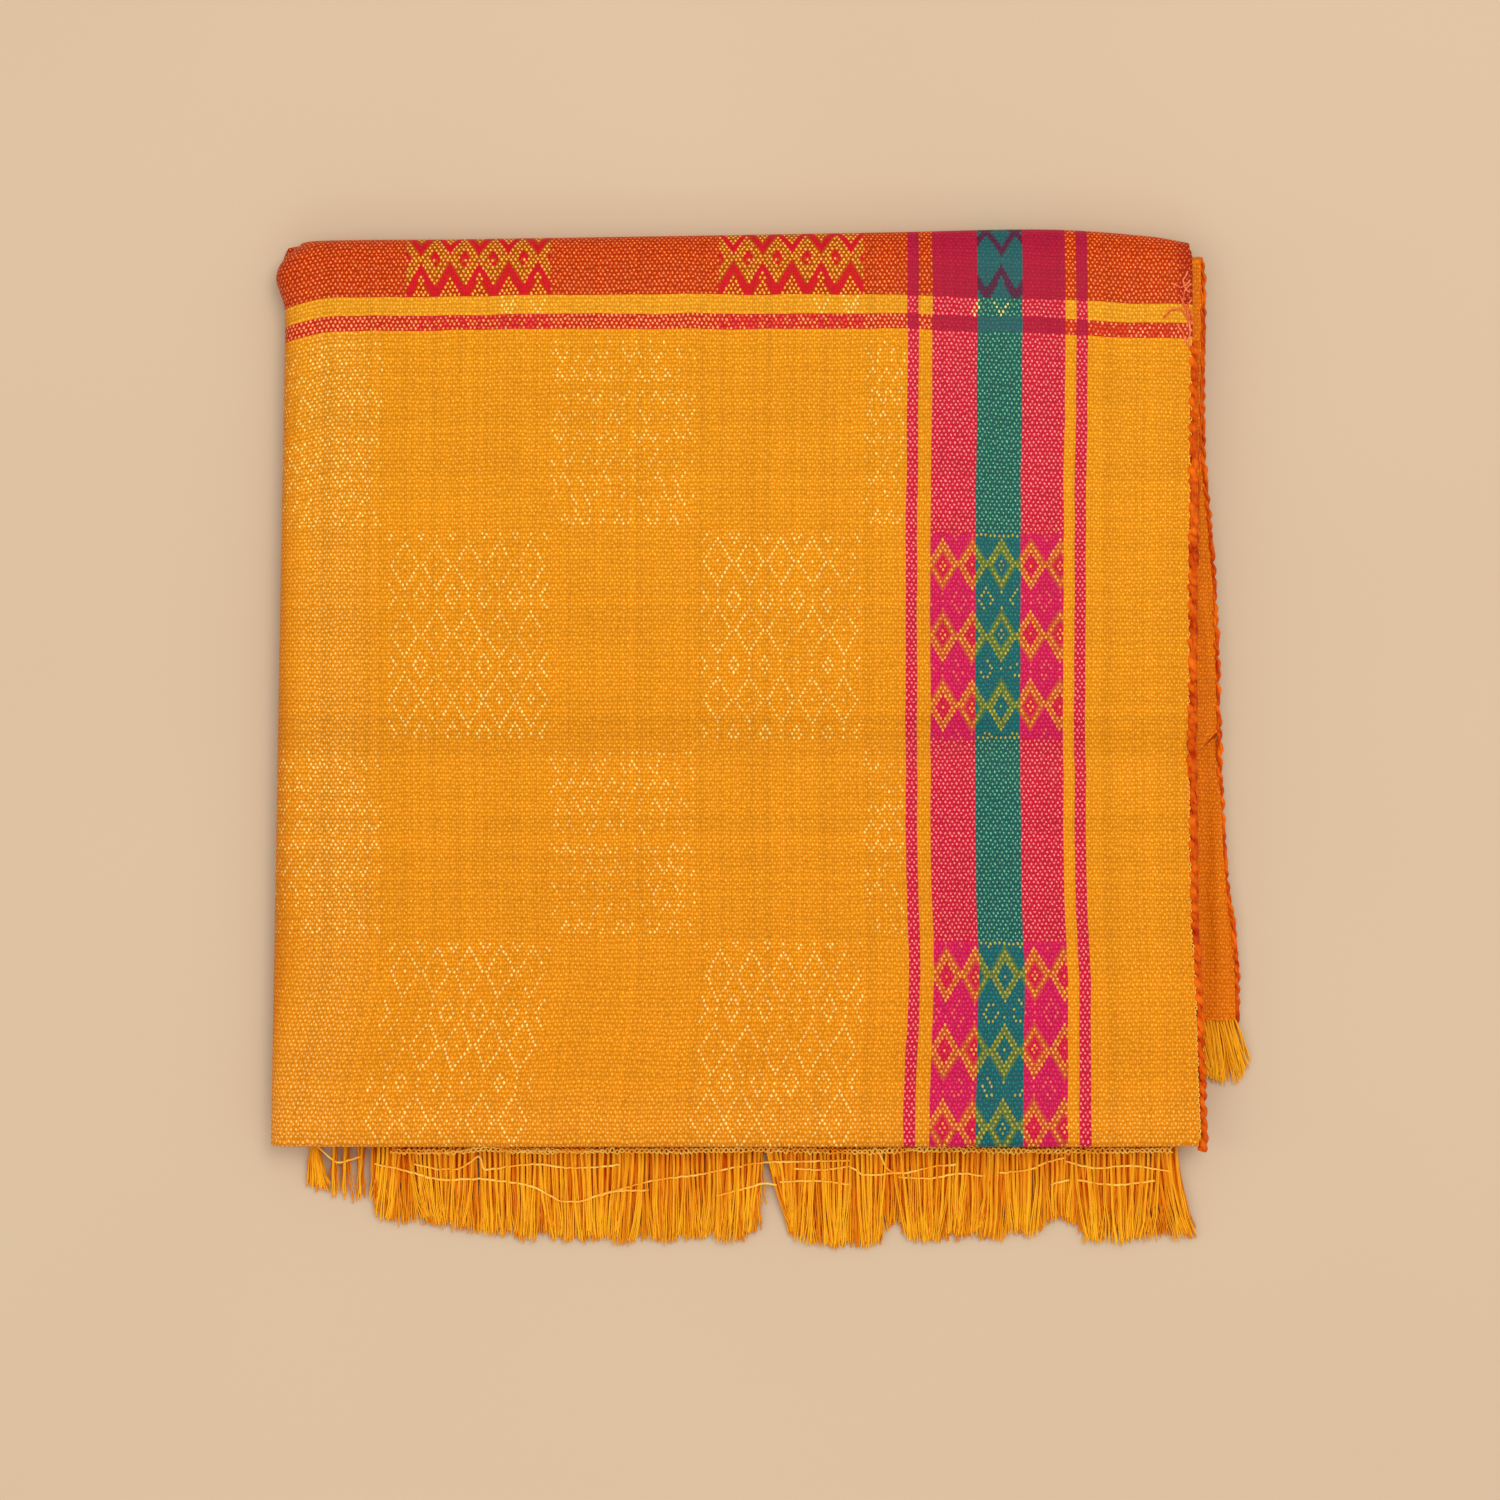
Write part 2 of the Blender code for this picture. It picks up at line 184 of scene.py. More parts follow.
FRINGE_TIPS = ((-175.8, -171.0), (-166.0, -172.0), (-163.4, -175.2), (-149.0, -175.4), (-148.0, -182.4),
               (-130.0, -184.4), (-112.0, -187.4), (-71.0, -191.4), (-47.0, -190.8), (-24.0, -190.8),
               (-2.0, -188.8), (1.6, -171.0), (8.0, -171.0), (10.0, -187.4), (30.0, -193.0),
               (44.0, -192.0), (48.4, -184.6), (54.0, -184.6), (56.0, -190.8), (84.0, -189.6),
               (107.0, -187.8), (110.6, -183.6), (121.0, -183.6), (123.4, -190.8), (142.0, -191.6),
               (156.8, -189.6))


def along(table, place, column=1):
    """Value of a column of a table at a place on its first column, joined by a smooth cubic."""
    rows = sorted(table)
    if place <= rows[0][0]:
        return rows[0][column]
    for k in range(len(rows) - 1):
        low, high = rows[k], rows[k + 1]
        if place <= high[0]:
            before = rows[max(k - 1, 0)]
            after = rows[min(k + 2, len(rows) - 1)]
            span = high[0] - low[0]
            share = (place - low[0]) / span
            slope = (high[column] - low[column]) / span
            left = slope if k == 0 else (high[column] - before[column]) / (high[0] - before[0])
            right = slope if k + 2 >= len(rows) else (after[column] - low[column]) / (after[0] - low[0])
            if left * slope <= 0.0:
                left = 0.0
            if right * slope <= 0.0:
                right = 0.0
            limit = 3.0 * abs(slope)
            left = max(-limit, min(limit, left))
            right = max(-limit, min(limit, right))
            a = 2 * share ** 3 - 3 * share ** 2 + 1
            b = share ** 3 - 2 * share ** 2 + share
            c = -2 * share ** 3 + 3 * share ** 2
            d = share ** 3 - share ** 2
            return a * low[column] + b * span * left + c * high[column] + d * span * right
    return rows[-1][column]


def smooth(share):
    share = min(max(share, 0.0), 1.0)
    return share * share * (3.0 - 2.0 * share)


print("top face at the middle: %.1f mm wide" % (along(TOP_RIGHT_EDGE, 0.0) - along(LEFT_EDGE, 0.0)))

# %% [markdown]
# A packet that has been folded is never flat. It sags towards the selvedges, where there is one
# fold less, it swells a little over the front fold, and the old fold line of the shop runs
# across it as one soft trough. All heights are worked out once, here, and every layer of cloth
# takes its share of them, so the layers stay clear of each other.

# %% Height of the packet
STACK = 17.0
ROLL = 9.0
ROLL_DROP = 8.6
BACK_Y = 178.0
FRONT_Y = -151.4
SELVEDGE_SAG = 1.6
BACK_SAG = 1.2
LEFT_SAG = 0.75
FRONT_RISE = 1.15
TROUGH_DEPTH = 1.55
TROUGH_WIDTH = 7.5


def swell(x, y):
    """How much higher or lower than flat the top of the packet is, in millimetres."""
    height = -SELVEDGE_SAG * smooth((x - 118.0) / 47.0)
    height -= BACK_SAG * smooth((y - 150.0) / 40.0)
    height += FRONT_RISE * smooth((-126.0 - y) / 20.0) - 0.5 * smooth((-147.0 - y) / 6.0)
    inset = x - along(LEFT_EDGE, y)
    height -= LEFT_SAG * (1.0 - smooth((inset - 6.0) / 24.0))
    middle = 1.6 - 6.6 * smooth((x - 50.0) / 80.0) + 1.1 * noise.noise(Vector((x * 0.011, 3.7, 0.2)))
    across = (y - middle) / TROUGH_WIDTH
    reach = 0.35 + 0.65 * smooth((x + 130.0) / 80.0)
    height -= reach * (TROUGH_DEPTH * math.exp(-across * across) - 0.55 * math.exp(-((across + 2.2) ** 2) * 0.8))
    height -= 0.4 * reach * math.exp(-((y - 11.0) / 18.0) ** 2)
    height += 0.22 * noise.noise(Vector((x * 0.016, y * 0.021, 5.3)))
    height += 0.10 * noise.noise(Vector((x * 0.052, y * 0.045, 1.9)))
    return height


print("trough: %.2f mm deep at x = 60" % -swell(60.0, 0.6))

# %% [markdown]
# The run of the cloth, seen from the side, is one line: along the surface to the back, up and
# round the back roll, forward over the top, round the front fold, and then to and fro four
# times inside. It is put together from straight stretches and half circles. At a length `s`
# along it, `run_at` gives the place, the direction and the stretch that it is in.

# %% The run of the cloth
def straight(name, y0, y1, z):
    return {"name": name, "kind": "straight", "from": (y0, z), "to": (y1, z), "length": abs(y1 - y0)}


def bend(name, y, z, radius, start, sweep):
    return {"name": name, "kind": "bend", "centre": (y, z), "radius": radius, "start": start, "sweep": sweep,
            "length": abs(sweep) * radius}


RUN = (
    straight("under", -150.0, BACK_Y, 1.2),
    bend("back roll", BACK_Y, 8.5, 7.3, -0.5 * math.pi, math.pi),
    straight("top", BACK_Y, FRONT_Y, 15.8),
    bend("front fold", FRONT_Y, 14.1, 1.7, 0.5 * math.pi, math.pi),
    straight("second", FRONT_Y, 182.6, 12.4),
    bend("second fold", 182.6, 11.0, 1.4, 0.5 * math.pi, -math.pi),
    straight("third", 182.6, -149.5, 9.6),
    bend("third fold", -149.5, 8.2, 1.4, 0.5 * math.pi, math.pi),
    straight("fourth", -149.5, 181.6, 6.8),
    bend("fourth fold", 181.6, 5.4, 1.4, 0.5 * math.pi, -math.pi),
    straight("last", 181.6, -107.0, 4.0),
)
LINE_Y = 156.0
STARTS = [sum(part["length"] for part in RUN[:k]) for k in range(len(RUN) + 1)]
LINE_S = STARTS[2] + BACK_Y - LINE_Y
print("cloth: %.0f mm long without its fringes" % STARTS[-1])


def run_at(s):
    """Place (y, z), direction and stretch of the run at a length s."""
    for k, part in enumerate(RUN):
        if s <= STARTS[k + 1] + 1e-6 or k == len(RUN) - 1:
            rest = min(max(s - STARTS[k], 0.0), part["length"])
            if part["kind"] == "straight":
                (y0, z), (y1, _) = part["from"], part["to"]
                way = 1.0 if y1 > y0 else -1.0
                return y0 + way * rest, z, way, 0.0, part["name"]
            turn = math.copysign(1.0, part["sweep"])
            angle = part["start"] + turn * rest / part["radius"]
            cos, sin = math.cos(angle), math.sin(angle)
            return (part["centre"][0] + part["radius"] * cos, part["centre"][1] + part["radius"] * sin,
                    -turn * sin, turn * cos, part["name"])


# %% [markdown]
# The cloth lies doubled on this run. The two cloths are the same cloth, joined by the lengthwise
# fold on the left, and each ends in its own selvedge on the right. The selvedges of one stretch
# never meet exactly, which is what makes the layered edge, so every stretch has its own right
# edge, and the inner stretches start a little inside the outer fold.

# %% Edges of each stretch
HALF_GAP = 0.9


def wander(seed, place, reach):
    """A slow random shift, the same every time."""
    return reach * noise.noise(Vector((place * 0.022, seed * 7.31, seed * 1.7)))


def right_edges(name, y):
    """x of the two selvedges of a stretch: the one whose side lies outwards, and the other."""
    top = along(TOP_RIGHT_EDGE, y)
    middle = along(MIDDLE_RIGHT_EDGE, y)
    end = along(END_RIGHT_EDGE, y)
    if name == "under":
        return top - 1.6 + wander(1, y, 0.5), top - 2.4 + wander(2, y, 0.5)
    if name in ("back roll", "top", "front fold"):
        return top, top + 0.9
    if name in ("second", "second fold"):
        return middle - 0.9 + wander(3, y, 0.4), middle - 0.1
    if name in ("third", "third fold"):
        out = middle + 0.4 + (end - middle - 0.4) * smooth((y - 134.0) / 34.0)
        return out, out - 0.9 + wander(4, y, 0.6)
    if name in ("fourth", "fourth fold"):
        out = middle + 0.8 + (end - middle - 0.6) * smooth((y + 3.5) / 6.0)
        return out - 1.0 + wander(5, y, 0.6), out
    out = end + 0.3 - 0.8 * smooth((y + 2.0) / 6.0)
    return out, out - 1.4 + wander(6, y, 0.7)


def left_edge(name, y):
    edge = along(LEFT_EDGE, y)
    if name == "under":
        return edge + 0.4 + 9.0 * smooth((120.0 - y) / 200.0) + wander(11, y, 1.2)
    if name in ("back roll", "top", "front fold"):
        return edge - 1.2
    inset = {"second": 6.6, "third": 9.4, "fourth": 7.4, "last": 9.8}[name.split()[0]]
    return edge + inset + wander(20 + inset, y, 1.6)


# %% [markdown]
# Now a single point of the cloth. Flat stretches are simple: the height is the height on the
# run, and it takes its share of the swell. Two places need care. On the left the outer cloth
# rolls down over the edge like a quarter of a cylinder, and at the back the roll follows its own
# outline, which bulges towards the stripes.

# %% One point of the cloth
def back_reach(x):
    """How far back the roll stands out at a place across the packet."""
    return along(BACK_EDGE, x) + 3.1 - 0.9 * smooth((x - 60.0) / 90.0)


def back_stretch(x, y):
    if y <= BACK_Y:
        return y
    return BACK_Y + (y - BACK_Y) * (back_reach(x) - BACK_Y) / 8.5


def cloth_point(s, side, share):
    """side is +1 for the cloth on the outer side of the run and -1 for the other.
    share is 0 at the selvedge and 1 at the lengthwise fold."""
    y, z, dy, dz, name = run_at(s)
    y += side * HALF_GAP * dz
    z -= side * HALF_GAP * dy
    right = right_edges(name, y)[0 if side > 0 else 1]
    left = left_edge(name, y)
    outer = name in ("back roll", "top", "front fold")
    x = right - share * (right - left)
    if outer:
        y = back_stretch(x, y)
        if y > 160.0:
            left = along(LEFT_EDGE, y) - 1.2 if z > 6.0 else left
            x = right - share * (right - left)
    inset = x - left
    height = z + z / STACK * swell(x, y)
    if outer and inset < ROLL:
        depth = HALF_GAP - side * HALF_GAP
        cos = (ROLL - inset) / ROLL
        sin = math.sqrt(max(1.0 - cos * cos, 0.0))
        middle = STACK - ROLL_DROP
        here = middle + (height - middle) * sin if height > middle else height
        flat = height * (middle + ROLL_DROP * sin) / STACK
        mixed = smooth((y - 138.0) / 28.0)
        height = here + (flat - here) * mixed
        x = left + ROLL - (ROLL - inset) * (1.0 - depth / ROLL)
    height += droop(name, x, y)
    height += pucker(s, side, right - x)
    return Vector((x, y, max(height, 0.33)))


def droop(name, x, y):
    """The free selvedges sink towards the surface where nothing holds them up."""
    out = max(x - 160.0, 0.0)
    gathers = smooth((x - 161.0) / 7.0) * noise.noise(Vector((x * 0.40 + y * 0.05, y * 0.02, 4.4)))
    if name in ("third", "third fold"):
        return -0.10 * out + 0.5 * gathers
    if name in ("fourth", "fourth fold"):
        return -0.09 * out + 0.8 * gathers
    if name == "last":
        ridge = 1.1 * math.exp(-((x - 175.0) / 2.6) ** 2) - 0.9 * math.exp(-((x - 169.6) / 2.0) ** 2)
        return -0.05 * out + 0.8 * gathers + ridge * smooth((10.0 - y) / 60.0)
    return 0.0


def pucker(s, side, inset):
    """A selvedge is woven tighter than the cloth, so it gathers the cloth beside it."""
    near = math.exp(-max(inset, 0.0) / 4.5)
    return near * 0.30 * noise.noise(Vector((s * 0.085, 2.3 * side, 8.8)))


print("corner of the top face:", [round(v, 1) for v in cloth_point(LINE_S, 1, 1.0)])

# %% [markdown]
# A row of the cloth runs from one selvedge, across the upper cloth, round the lengthwise fold and
# back through the lower cloth to the other selvedge. Points stand closer together beside the
# selvedge and on the roll. Each point also carries its place in the flat cloth as a UV: the
# distance across from the first selvedge, and the distance along from the line where the red
# and the yellow meet. The weave recipe reads nothing else, so every thread follows the cloth.
# Near the front fold the cloth has been pulled longer, and the threads lie wider apart.

# %% Rows of the cloth
WIDTH = 700.0
PULL_FROM = -81.0
PULL = 1.08


def shares_across(pitch, roll_share):
    """Stations from the selvedge (0) to the lengthwise fold (1), closer where the cloth bends."""
    near = [0.0, 0.003, 0.0065, 0.0105, 0.015, 0.020, 0.026, 0.033, 0.041, 0.051]
    count = int(round((1.0 - roll_share - near[-1]) * 345.0 / pitch))
    flat = [near[-1] + (1.0 - roll_share - near[-1]) * k / count for k in range(1, count + 1)]
    roll = [1.0 - roll_share + roll_share * math.sin(0.5 * math.pi * k / 8.0) for k in range(1, 9)]
    return near + flat + roll


def line_shift(x):
    """The line between red and yellow isn't quite straight: it sinks at both ends."""
    left = 4.6 * (1.0 - smooth((x + 187.0) / 26.0)) - 0.8 * smooth((x + 140.0) / 60.0)
    return 3.6 * smooth((x - 40.0) / 130.0) + left


def roll_length(x, angle):
    """Length of the outer face of the back roll, from its top down to an angle."""
    reach = back_reach(x) - BACK_Y
    steps = 16
    turn = (0.5 * math.pi - angle) / steps
    halfway = [angle + (k + 0.5) * turn for k in range(steps)]
    return sum(turn * math.hypot(reach * math.sin(a), 7.8 * math.cos(a)) for a in halfway)


def pattern_along(s, x):
    """Distance along the flat cloth from the red and yellow line."""
    y, _, _, _, name = run_at(s)
    t = s - LINE_S
    if name == "back roll":
        t = LINE_Y - BACK_Y - roll_length(x, -0.5 * math.pi + (s - STARTS[1]) / 7.3)
    if name == "under":
        t = LINE_Y - BACK_Y - roll_length(x, -0.5 * math.pi) - (BACK_Y - y)
    if name == "top":
        t -= line_shift(x) * smooth((y - 40.0) / 100.0)
        t -= max(PULL_FROM - y, 0.0) * (1.0 - 1.0 / PULL)
    elif s < LINE_S:
        t -= line_shift(x) * smooth(1.0 + (s - STARTS[1]) / 60.0)
    else:
        t -= (PULL_FROM - FRONT_Y) * (1.0 - 1.0 / PULL)
    return t


def cloth_row(s, shares):
    """Points and UVs of one row, selvedge to selvedge."""
    y, _, _, _, name = run_at(s)
    stretch = 1.0
    if name in ("top", "front fold"):
        stretch = 1.0 + 0.045 * smooth((-66.0 - y) / 88.0)
    upper = [cloth_point(s, 1, q) for q in shares]
    lower = [cloth_point(s, -1, q) for q in shares]
    fold = []
    half = 0.5 * (upper[-1] - lower[-1])
    middle = 0.5 * (upper[-1] + lower[-1])
    ahead = middle - 0.5 * (upper[-3] + lower[-3])
    ahead -= half * ahead.dot(half) / max(half.dot(half), 1e-9)
    ahead = ahead.normalized() * min(half.length, HALF_GAP)
    for k in range(1, 5):
        angle = math.pi * k / 5.0
        fold.append(middle + half * math.cos(angle) + ahead * math.sin(angle))
    points = upper + fold + lower[::-1]
    across = [0.0]
    for a, b in zip(points, points[1:]):
        across.append(across[-1] + math.hypot(b.x - a.x, (b.z - a.z) if abs(b.x - a.x) < 4.0 else 0.0))
    whole = across[-1]
    uvs = []
    for k, (p, d) in enumerate(zip(points, across)):
        d = d / stretch if d < 0.5 * whole else WIDTH - (whole - d) / stretch
        uvs.append((d * MM, pattern_along(s, p.x) * MM))
    return points, uvs


def cloth_piece(name, lengths, pitch):
    """A doubled stretch of cloth as one mesh, with its thread places as a UV map."""
    shares = shares_across(pitch, ROLL / 345.0)
    rows = [cloth_row(s, shares) for s in lengths]
    columns = len(rows[0][0])
    points = [p * MM for row, _ in rows for p in row]
    uvs = [uv for _, row in rows for uv in row]
    faces = [(i * columns + j, i * columns + j + 1, (i + 1) * columns + j + 1, (i + 1) * columns + j)
             for i in range(len(rows) - 1) for j in range(columns - 1)]
    mesh = bpy.data.meshes.new(name)
    mesh.from_pydata(points, [], faces)
    layer = mesh.uv_layers.new(name="threads")
    for loop in mesh.loops:
        layer.data[loop.index].uv = uvs[loop.vertex_index]
    mesh.polygons.foreach_set("use_smooth", [True] * len(mesh.polygons))
    piece = bpy.data.objects.new(name, mesh)
    bpy.context.scene.collection.objects.link(piece)
    return piece


def stations(start, end, step):
    count = max(int(round((end - start) / step)), 1)
    return [start + (end - start) * k / count for k in range(count + 1)]


# %% [markdown]
# The cloth gets its thickness from a Solidify modifier, half to each side, and the modifier is
# then made permanent. The thickness is that of a coarse silky weave, a little over half a
# millimetre, and a narrow rim closes it at the selvedges.

# %% Thickness
CLOTH_THICK = 0.55


def plain_mesh(piece):
    """Replace a piece's mesh by what its modifiers make of it, and take the modifiers away."""
    graph = bpy.context.evaluated_depsgraph_get()
    made = bpy.data.meshes.new_from_object(piece.evaluated_get(graph), preserve_all_data_layers=True,
                                           depsgraph=graph)
    made.name = piece.name
    piece.modifiers.clear()
    piece.data = made
    return piece


def thicken(piece, thickness=CLOTH_THICK):
    solid = piece.modifiers.new("thickness", "SOLIDIFY")
    solid.thickness = thickness * MM
    solid.offset = 0.0
    solid.use_even_offset = False
    plain_mesh(piece)
    piece.data.set_sharp_from_angle(angle=math.radians(55.0))
    print("%s: %d faces" % (piece.name, len(piece.data.polygons)))
    return piece


# %% The three stretches of cloth
pallu_rows = stations(0.0, STARTS[1] - 6.0, 6.5) + stations(STARTS[1] - 3.0, STARTS[2], 1.25)
pallu_rows += stations(STARTS[2] + 1.6, LINE_S, 2.2)
pallu_cloth = thicken(cloth_piece("pallu_cloth", pallu_rows, 4.0))

top_rows = stations(LINE_S, STARTS[3] - 5.0, 2.6) + stations(STARTS[3] - 3.6, STARTS[4], 0.9)
top_cloth = thicken(cloth_piece("top_cloth", top_rows, 3.4))

inner_rows = []
for k in (4, 6, 8, 10):
    inner_rows += stations(STARTS[k], STARTS[k + 1], 8.0)
    if k < 10:
        inner_rows += stations(STARTS[k + 1], STARTS[k + 2], 0.75)[1:-1]
inner_cloth = thicken(cloth_piece("inner_cloth", inner_rows, 7.0))

# %% [markdown]
# ## Dyes and the weave recipe
#
# A recipe is a material's tree. It takes the constants of its shader when it is made, lays one
# colour over another through a mask, and gives noise and single random numbers.

# %% A material as a recipe
class Recipe(Tree):
    """A material and the nodes that are added to it."""

    def __init__(self, name, **constants):
        self.material = bpy.data.materials.new(name)
        self.material.use_nodes = True
        super().__init__(self.material.node_tree)
        self.shader = self.tree.nodes["Principled BSDF"]
        for socket, value in constants.items():
            self.shader.inputs[socket.replace("_", " ")].default_value = value

    def give(self, **sockets):
        for name, value in sockets.items():
            self.feed(self.shader.inputs[name.replace("_", " ")], value)

    def over(self, mask, below, above):
        """The colour above where the mask is 1, and the colour below where it is 0."""
        mix = self.node("ShaderNodeMix", {"data_type": "RGBA"}, out=2)
        sockets = mix.socket.node.inputs
        for place, value in ((0, mask), (6, below), (7, above)):
            self.feed(sockets[place], value)
        return mix

    def noise(self, x, y, scale, detail=2.0):
        where = self.join(x * scale, y * scale)
        return self.node("ShaderNodeTexNoise", {"noise_dimensions": "2D"}, Vector=where, Scale=1.0, Detail=detail)

    def speck(self, x, y=0.0):
        """A random number from 0 to 1 that is the same all over one cell."""
        return self.node("ShaderNodeTexWhiteNoise", {"noise_dimensions": "2D"}, self.join(x, y))

    def wear(self, piece):
        piece.data.materials.clear()
        piece.data.materials.append(self.material)


def dye(red, green, blue):
    """A dye given as 0 to 255 screen values, turned into the linear values that light works in."""
    parts = []
    for part in (red, green, blue):
        part /= 255.0
        parts.append(part / 12.92 if part <= 0.04045 else ((part + 0.055) / 1.055) ** 2.4)
    return (*parts, 1.0)


# %% [markdown]
# The weave is worked out thread by thread. Across the cloth a warp end lies every 0.855 mm, and
# along it a weft pick lies every 1.45 mm, so each crossing is one small cell with two whole
# numbers: which end, and which pick. In a plain weave the weft is on top in every second cell,
# like the dark squares of a draughtboard, and that is where the pale dots of this cloth are.
# Every stripe, band and figure is then a question about the two whole numbers, exactly as on a
# weaver's point paper, and no picture is needed.

# %% Threads and colours
WARP = 0.855
WEFT = 1.45
BORDER = {"thin outer": (39.0, 43.3), "pink outer": (47.7, 64.2), "teal": (64.2, 81.1),
          "pink inner": (81.1, 98.2), "thin inner": (103.2, 107.5)}
FIELD_FROM = 108.5
BLOCK_START = 146.0
BLOCK_REPEAT = 139.0
FIRST_ROW = 53.0
ROW_REPEAT = 107.0
OLD_FOLD_LINE = 153.0
FRONT_FOLD_LINE = 306.0
NEAR_LEFT_FOLD = 306.0
ROLLED_FROM = 338.0
YELLOW_STRIPE = (-9.0 * WEFT, -4.0 * WEFT)
RED_STRIPE = (-4.0 * WEFT, 0.0)

YARN = {
    "marigold": dye(230, 136, 8), "maize": dye(255, 194, 66), "pale": dye(255, 228, 132),
    "pink": dye(206, 6, 56), "pink dot": dye(252, 152, 138), "rose": dye(236, 78, 118),
    "magenta": dye(206, 0, 78), "cerise": dye(176, 0, 56), "crimson": dye(208, 4, 34),
    "teal": dye(0, 88, 84), "teal dot": dye(112, 192, 150), "deep teal": dye(0, 92, 98),
    "sea": dye(10, 150, 132), "plum": dye(78, 30, 66), "garnet": dye(172, 22, 10),
    "rust": dye(190, 40, 0), "ember": dye(255, 130, 40), "brick": dye(200, 30, 10),
    "salmon": dye(255, 160, 108), "straw": dye(232, 144, 16), "straw dot": dye(255, 200, 84),
    "gold": dye(252, 180, 66), "green gold": dye(190, 176, 60), "olive": dye(182, 70, 4),
    "bronze": dye(200, 88, 22), "moss": dye(104, 118, 30),
}
print("%d yarn colours; a figure block of 70 ends is %.1f mm wide" % (len(YARN), 70 * WARP))

# %% [markdown]
# The figures are small repeats. A lozenge is the set of cells whose distance across plus
# distance along from its centre is one number. The column repeat and the row repeat come from
# the remainder of a division, and the blocks of figures come from a larger remainder. In the
# border stripes each lozenge has a double row of dots round a plain heart, with seeds between.

# %% The lozenges of the border
def border_figures(end, pick):
    """Masks of the border's figures, from the number of the warp end and of the weft pick."""
    end_mm = (end + 0.5) * WARP
    pick_mm = (pick + 0.5) * WEFT
    odd = (end + pick) % 2.0
    repeat = (pick - FIRST_ROW) % ROW_REPEAT
    border = end_mm.between(BORDER["pink outer"][0], BORDER["pink inner"][1])
    zone = border * (repeat < 53.5) * (pick_mm > 0.0)
    side = abs((end - 57.0 + 6.0) % 13.0 - 6.0)
    down = abs((repeat + 1.5) % 18.5 - 9.25)
    reach = side + down
    outline = reach.between(3.3, 6.9)
    small = ((6.0 - side) + (9.25 - down)).between(1.2, 3.2) * (down > 5.5)
    chain = (side < 0.5) * (down > 6.0)
    rim = repeat.near(0.0) + repeat.near(FIRST_ROW)
    return {
        "border zone": zone, "border line": zone * outline, "border heart": zone * (reach < 3.3),
        "border dot": zone * odd * (outline + (reach < 1.3)).least(1.0),
        "border seed": zone * odd * (small + chain).least(1.0), "border rim": zone * odd * rim,
    }


# %% [markdown]
# The yellow field is a draughtboard of two fillings: a lattice of large and small lozenges, and
# rows of little broken strokes. A white noise number drops one leg of some strokes, so that no
# two rows are alike.

# %% The lattice and the strokes of the field
def field_figures(recipe, end, pick):
    """Masks of the two fillings of the yellow field."""
    odd = (end + pick) % 2.0
    repeat = (pick - FIRST_ROW) % ROW_REPEAT
    block = (end - BLOCK_START) % BLOCK_REPEAT
    field = ((end + 0.5) * WARP > FIELD_FROM) * ((pick + 0.5) * WEFT > 0.0)

    side = abs(block % 14.0 - 7.0)
    down = abs((repeat + 1.1) % 17.6 - 8.8)
    reach = side + down
    chain = side.near(0.0) * (down > 6.5)
    small = ((7.0 - side) + (8.8 - down)).between(1.7, 3.7)
    lattice = (reach.between(5.1, 7.1) + (reach < 1.2) + chain + small).least(1.0)
    lattice = lattice * (block < 70.5) * (repeat < 53.5)

    row = (repeat / 5.3).floor()
    up = repeat - row * 5.3
    place = block + (row % 2.0) * 2.0 + recipe.speck(row, 3.0) * 3.0
    mark = (place / 6.0).floor()
    side = abs(place - mark * 6.0 - 2.8)
    leg = recipe.speck(mark, row)
    left = place - mark * 6.0 < 2.8
    one_leg = 1 - left * (leg < 0.3) - (1 - left) * (leg > 0.72)
    strokes = (up - side * 1.3).between(-0.6, 1.6) * (up < 4.2) * one_leg
    strokes = strokes * block.between(73.5, 137.5) * repeat.between(56.5, 105.5)
    return {"field lattice": lattice * field * odd, "field strokes": strokes * field * odd}


# %% [markdown]
# In the red band the figures are larger, and they are floats of one solid colour instead of
# single dots. Gables stand on the yellow stripe, lozenges full of golden dots hang between them,
# and a second row of gables points the other way.

# %% The brocade of the red band
def brocade(end, pick):
    """Masks of the red band's figures."""
    end_mm = (end + 0.5) * WARP
    row = -10.0 - pick
    row = 18.0 - abs(18.0 - row)
    block = (end - BLOCK_START) % BLOCK_REPEAT
    border = end_mm.between(BORDER["pink outer"][0], BORDER["pink inner"][1])
    side = abs((block + border * 6.0 + 1.0) % 13.0 - 6.0)
    made = {}
    gable = (row + side * 1.05 < 8.9) * (1 - (row + side * 1.25 < 5.3))
    upper = (row - side * 1.05 > 10.4) * (row - side * 1.05 < 13.6)
    made["gable"] = (gable + upper).least(1.0)
    made["under gable"] = row + side * 1.25 < 5.3
    heart = abs(side - 6.5) + abs(row - 9.4) * 0.8
    made["eye"] = heart.between(0.9, 2.2)
    made["block"] = (block < 63.5) * (row > -0.5) * (end_mm > FIELD_FROM)
    vee = (side + pick + 5.0).near(0.0, 1.2) * (side < 3.5) * ((end + pick) % 2.0)
    few = (block < 24.0) * (end_mm > FIELD_FROM) + end_mm.between(66.0, 84.0)
    made["vee"] = vee * pick.between(-9.5, -4.5) * few
    made["border"] = border * (row > -0.5)
    return made


# %% [markdown]
# Now the recipe. The first step bends the threads by a tiny wandering shift, numbers them, and
# asks how high the yarn on top stands at every point of a crossing. A real thread never lies
# quite in the middle of its cell, so each one also slips a little by its own random number.

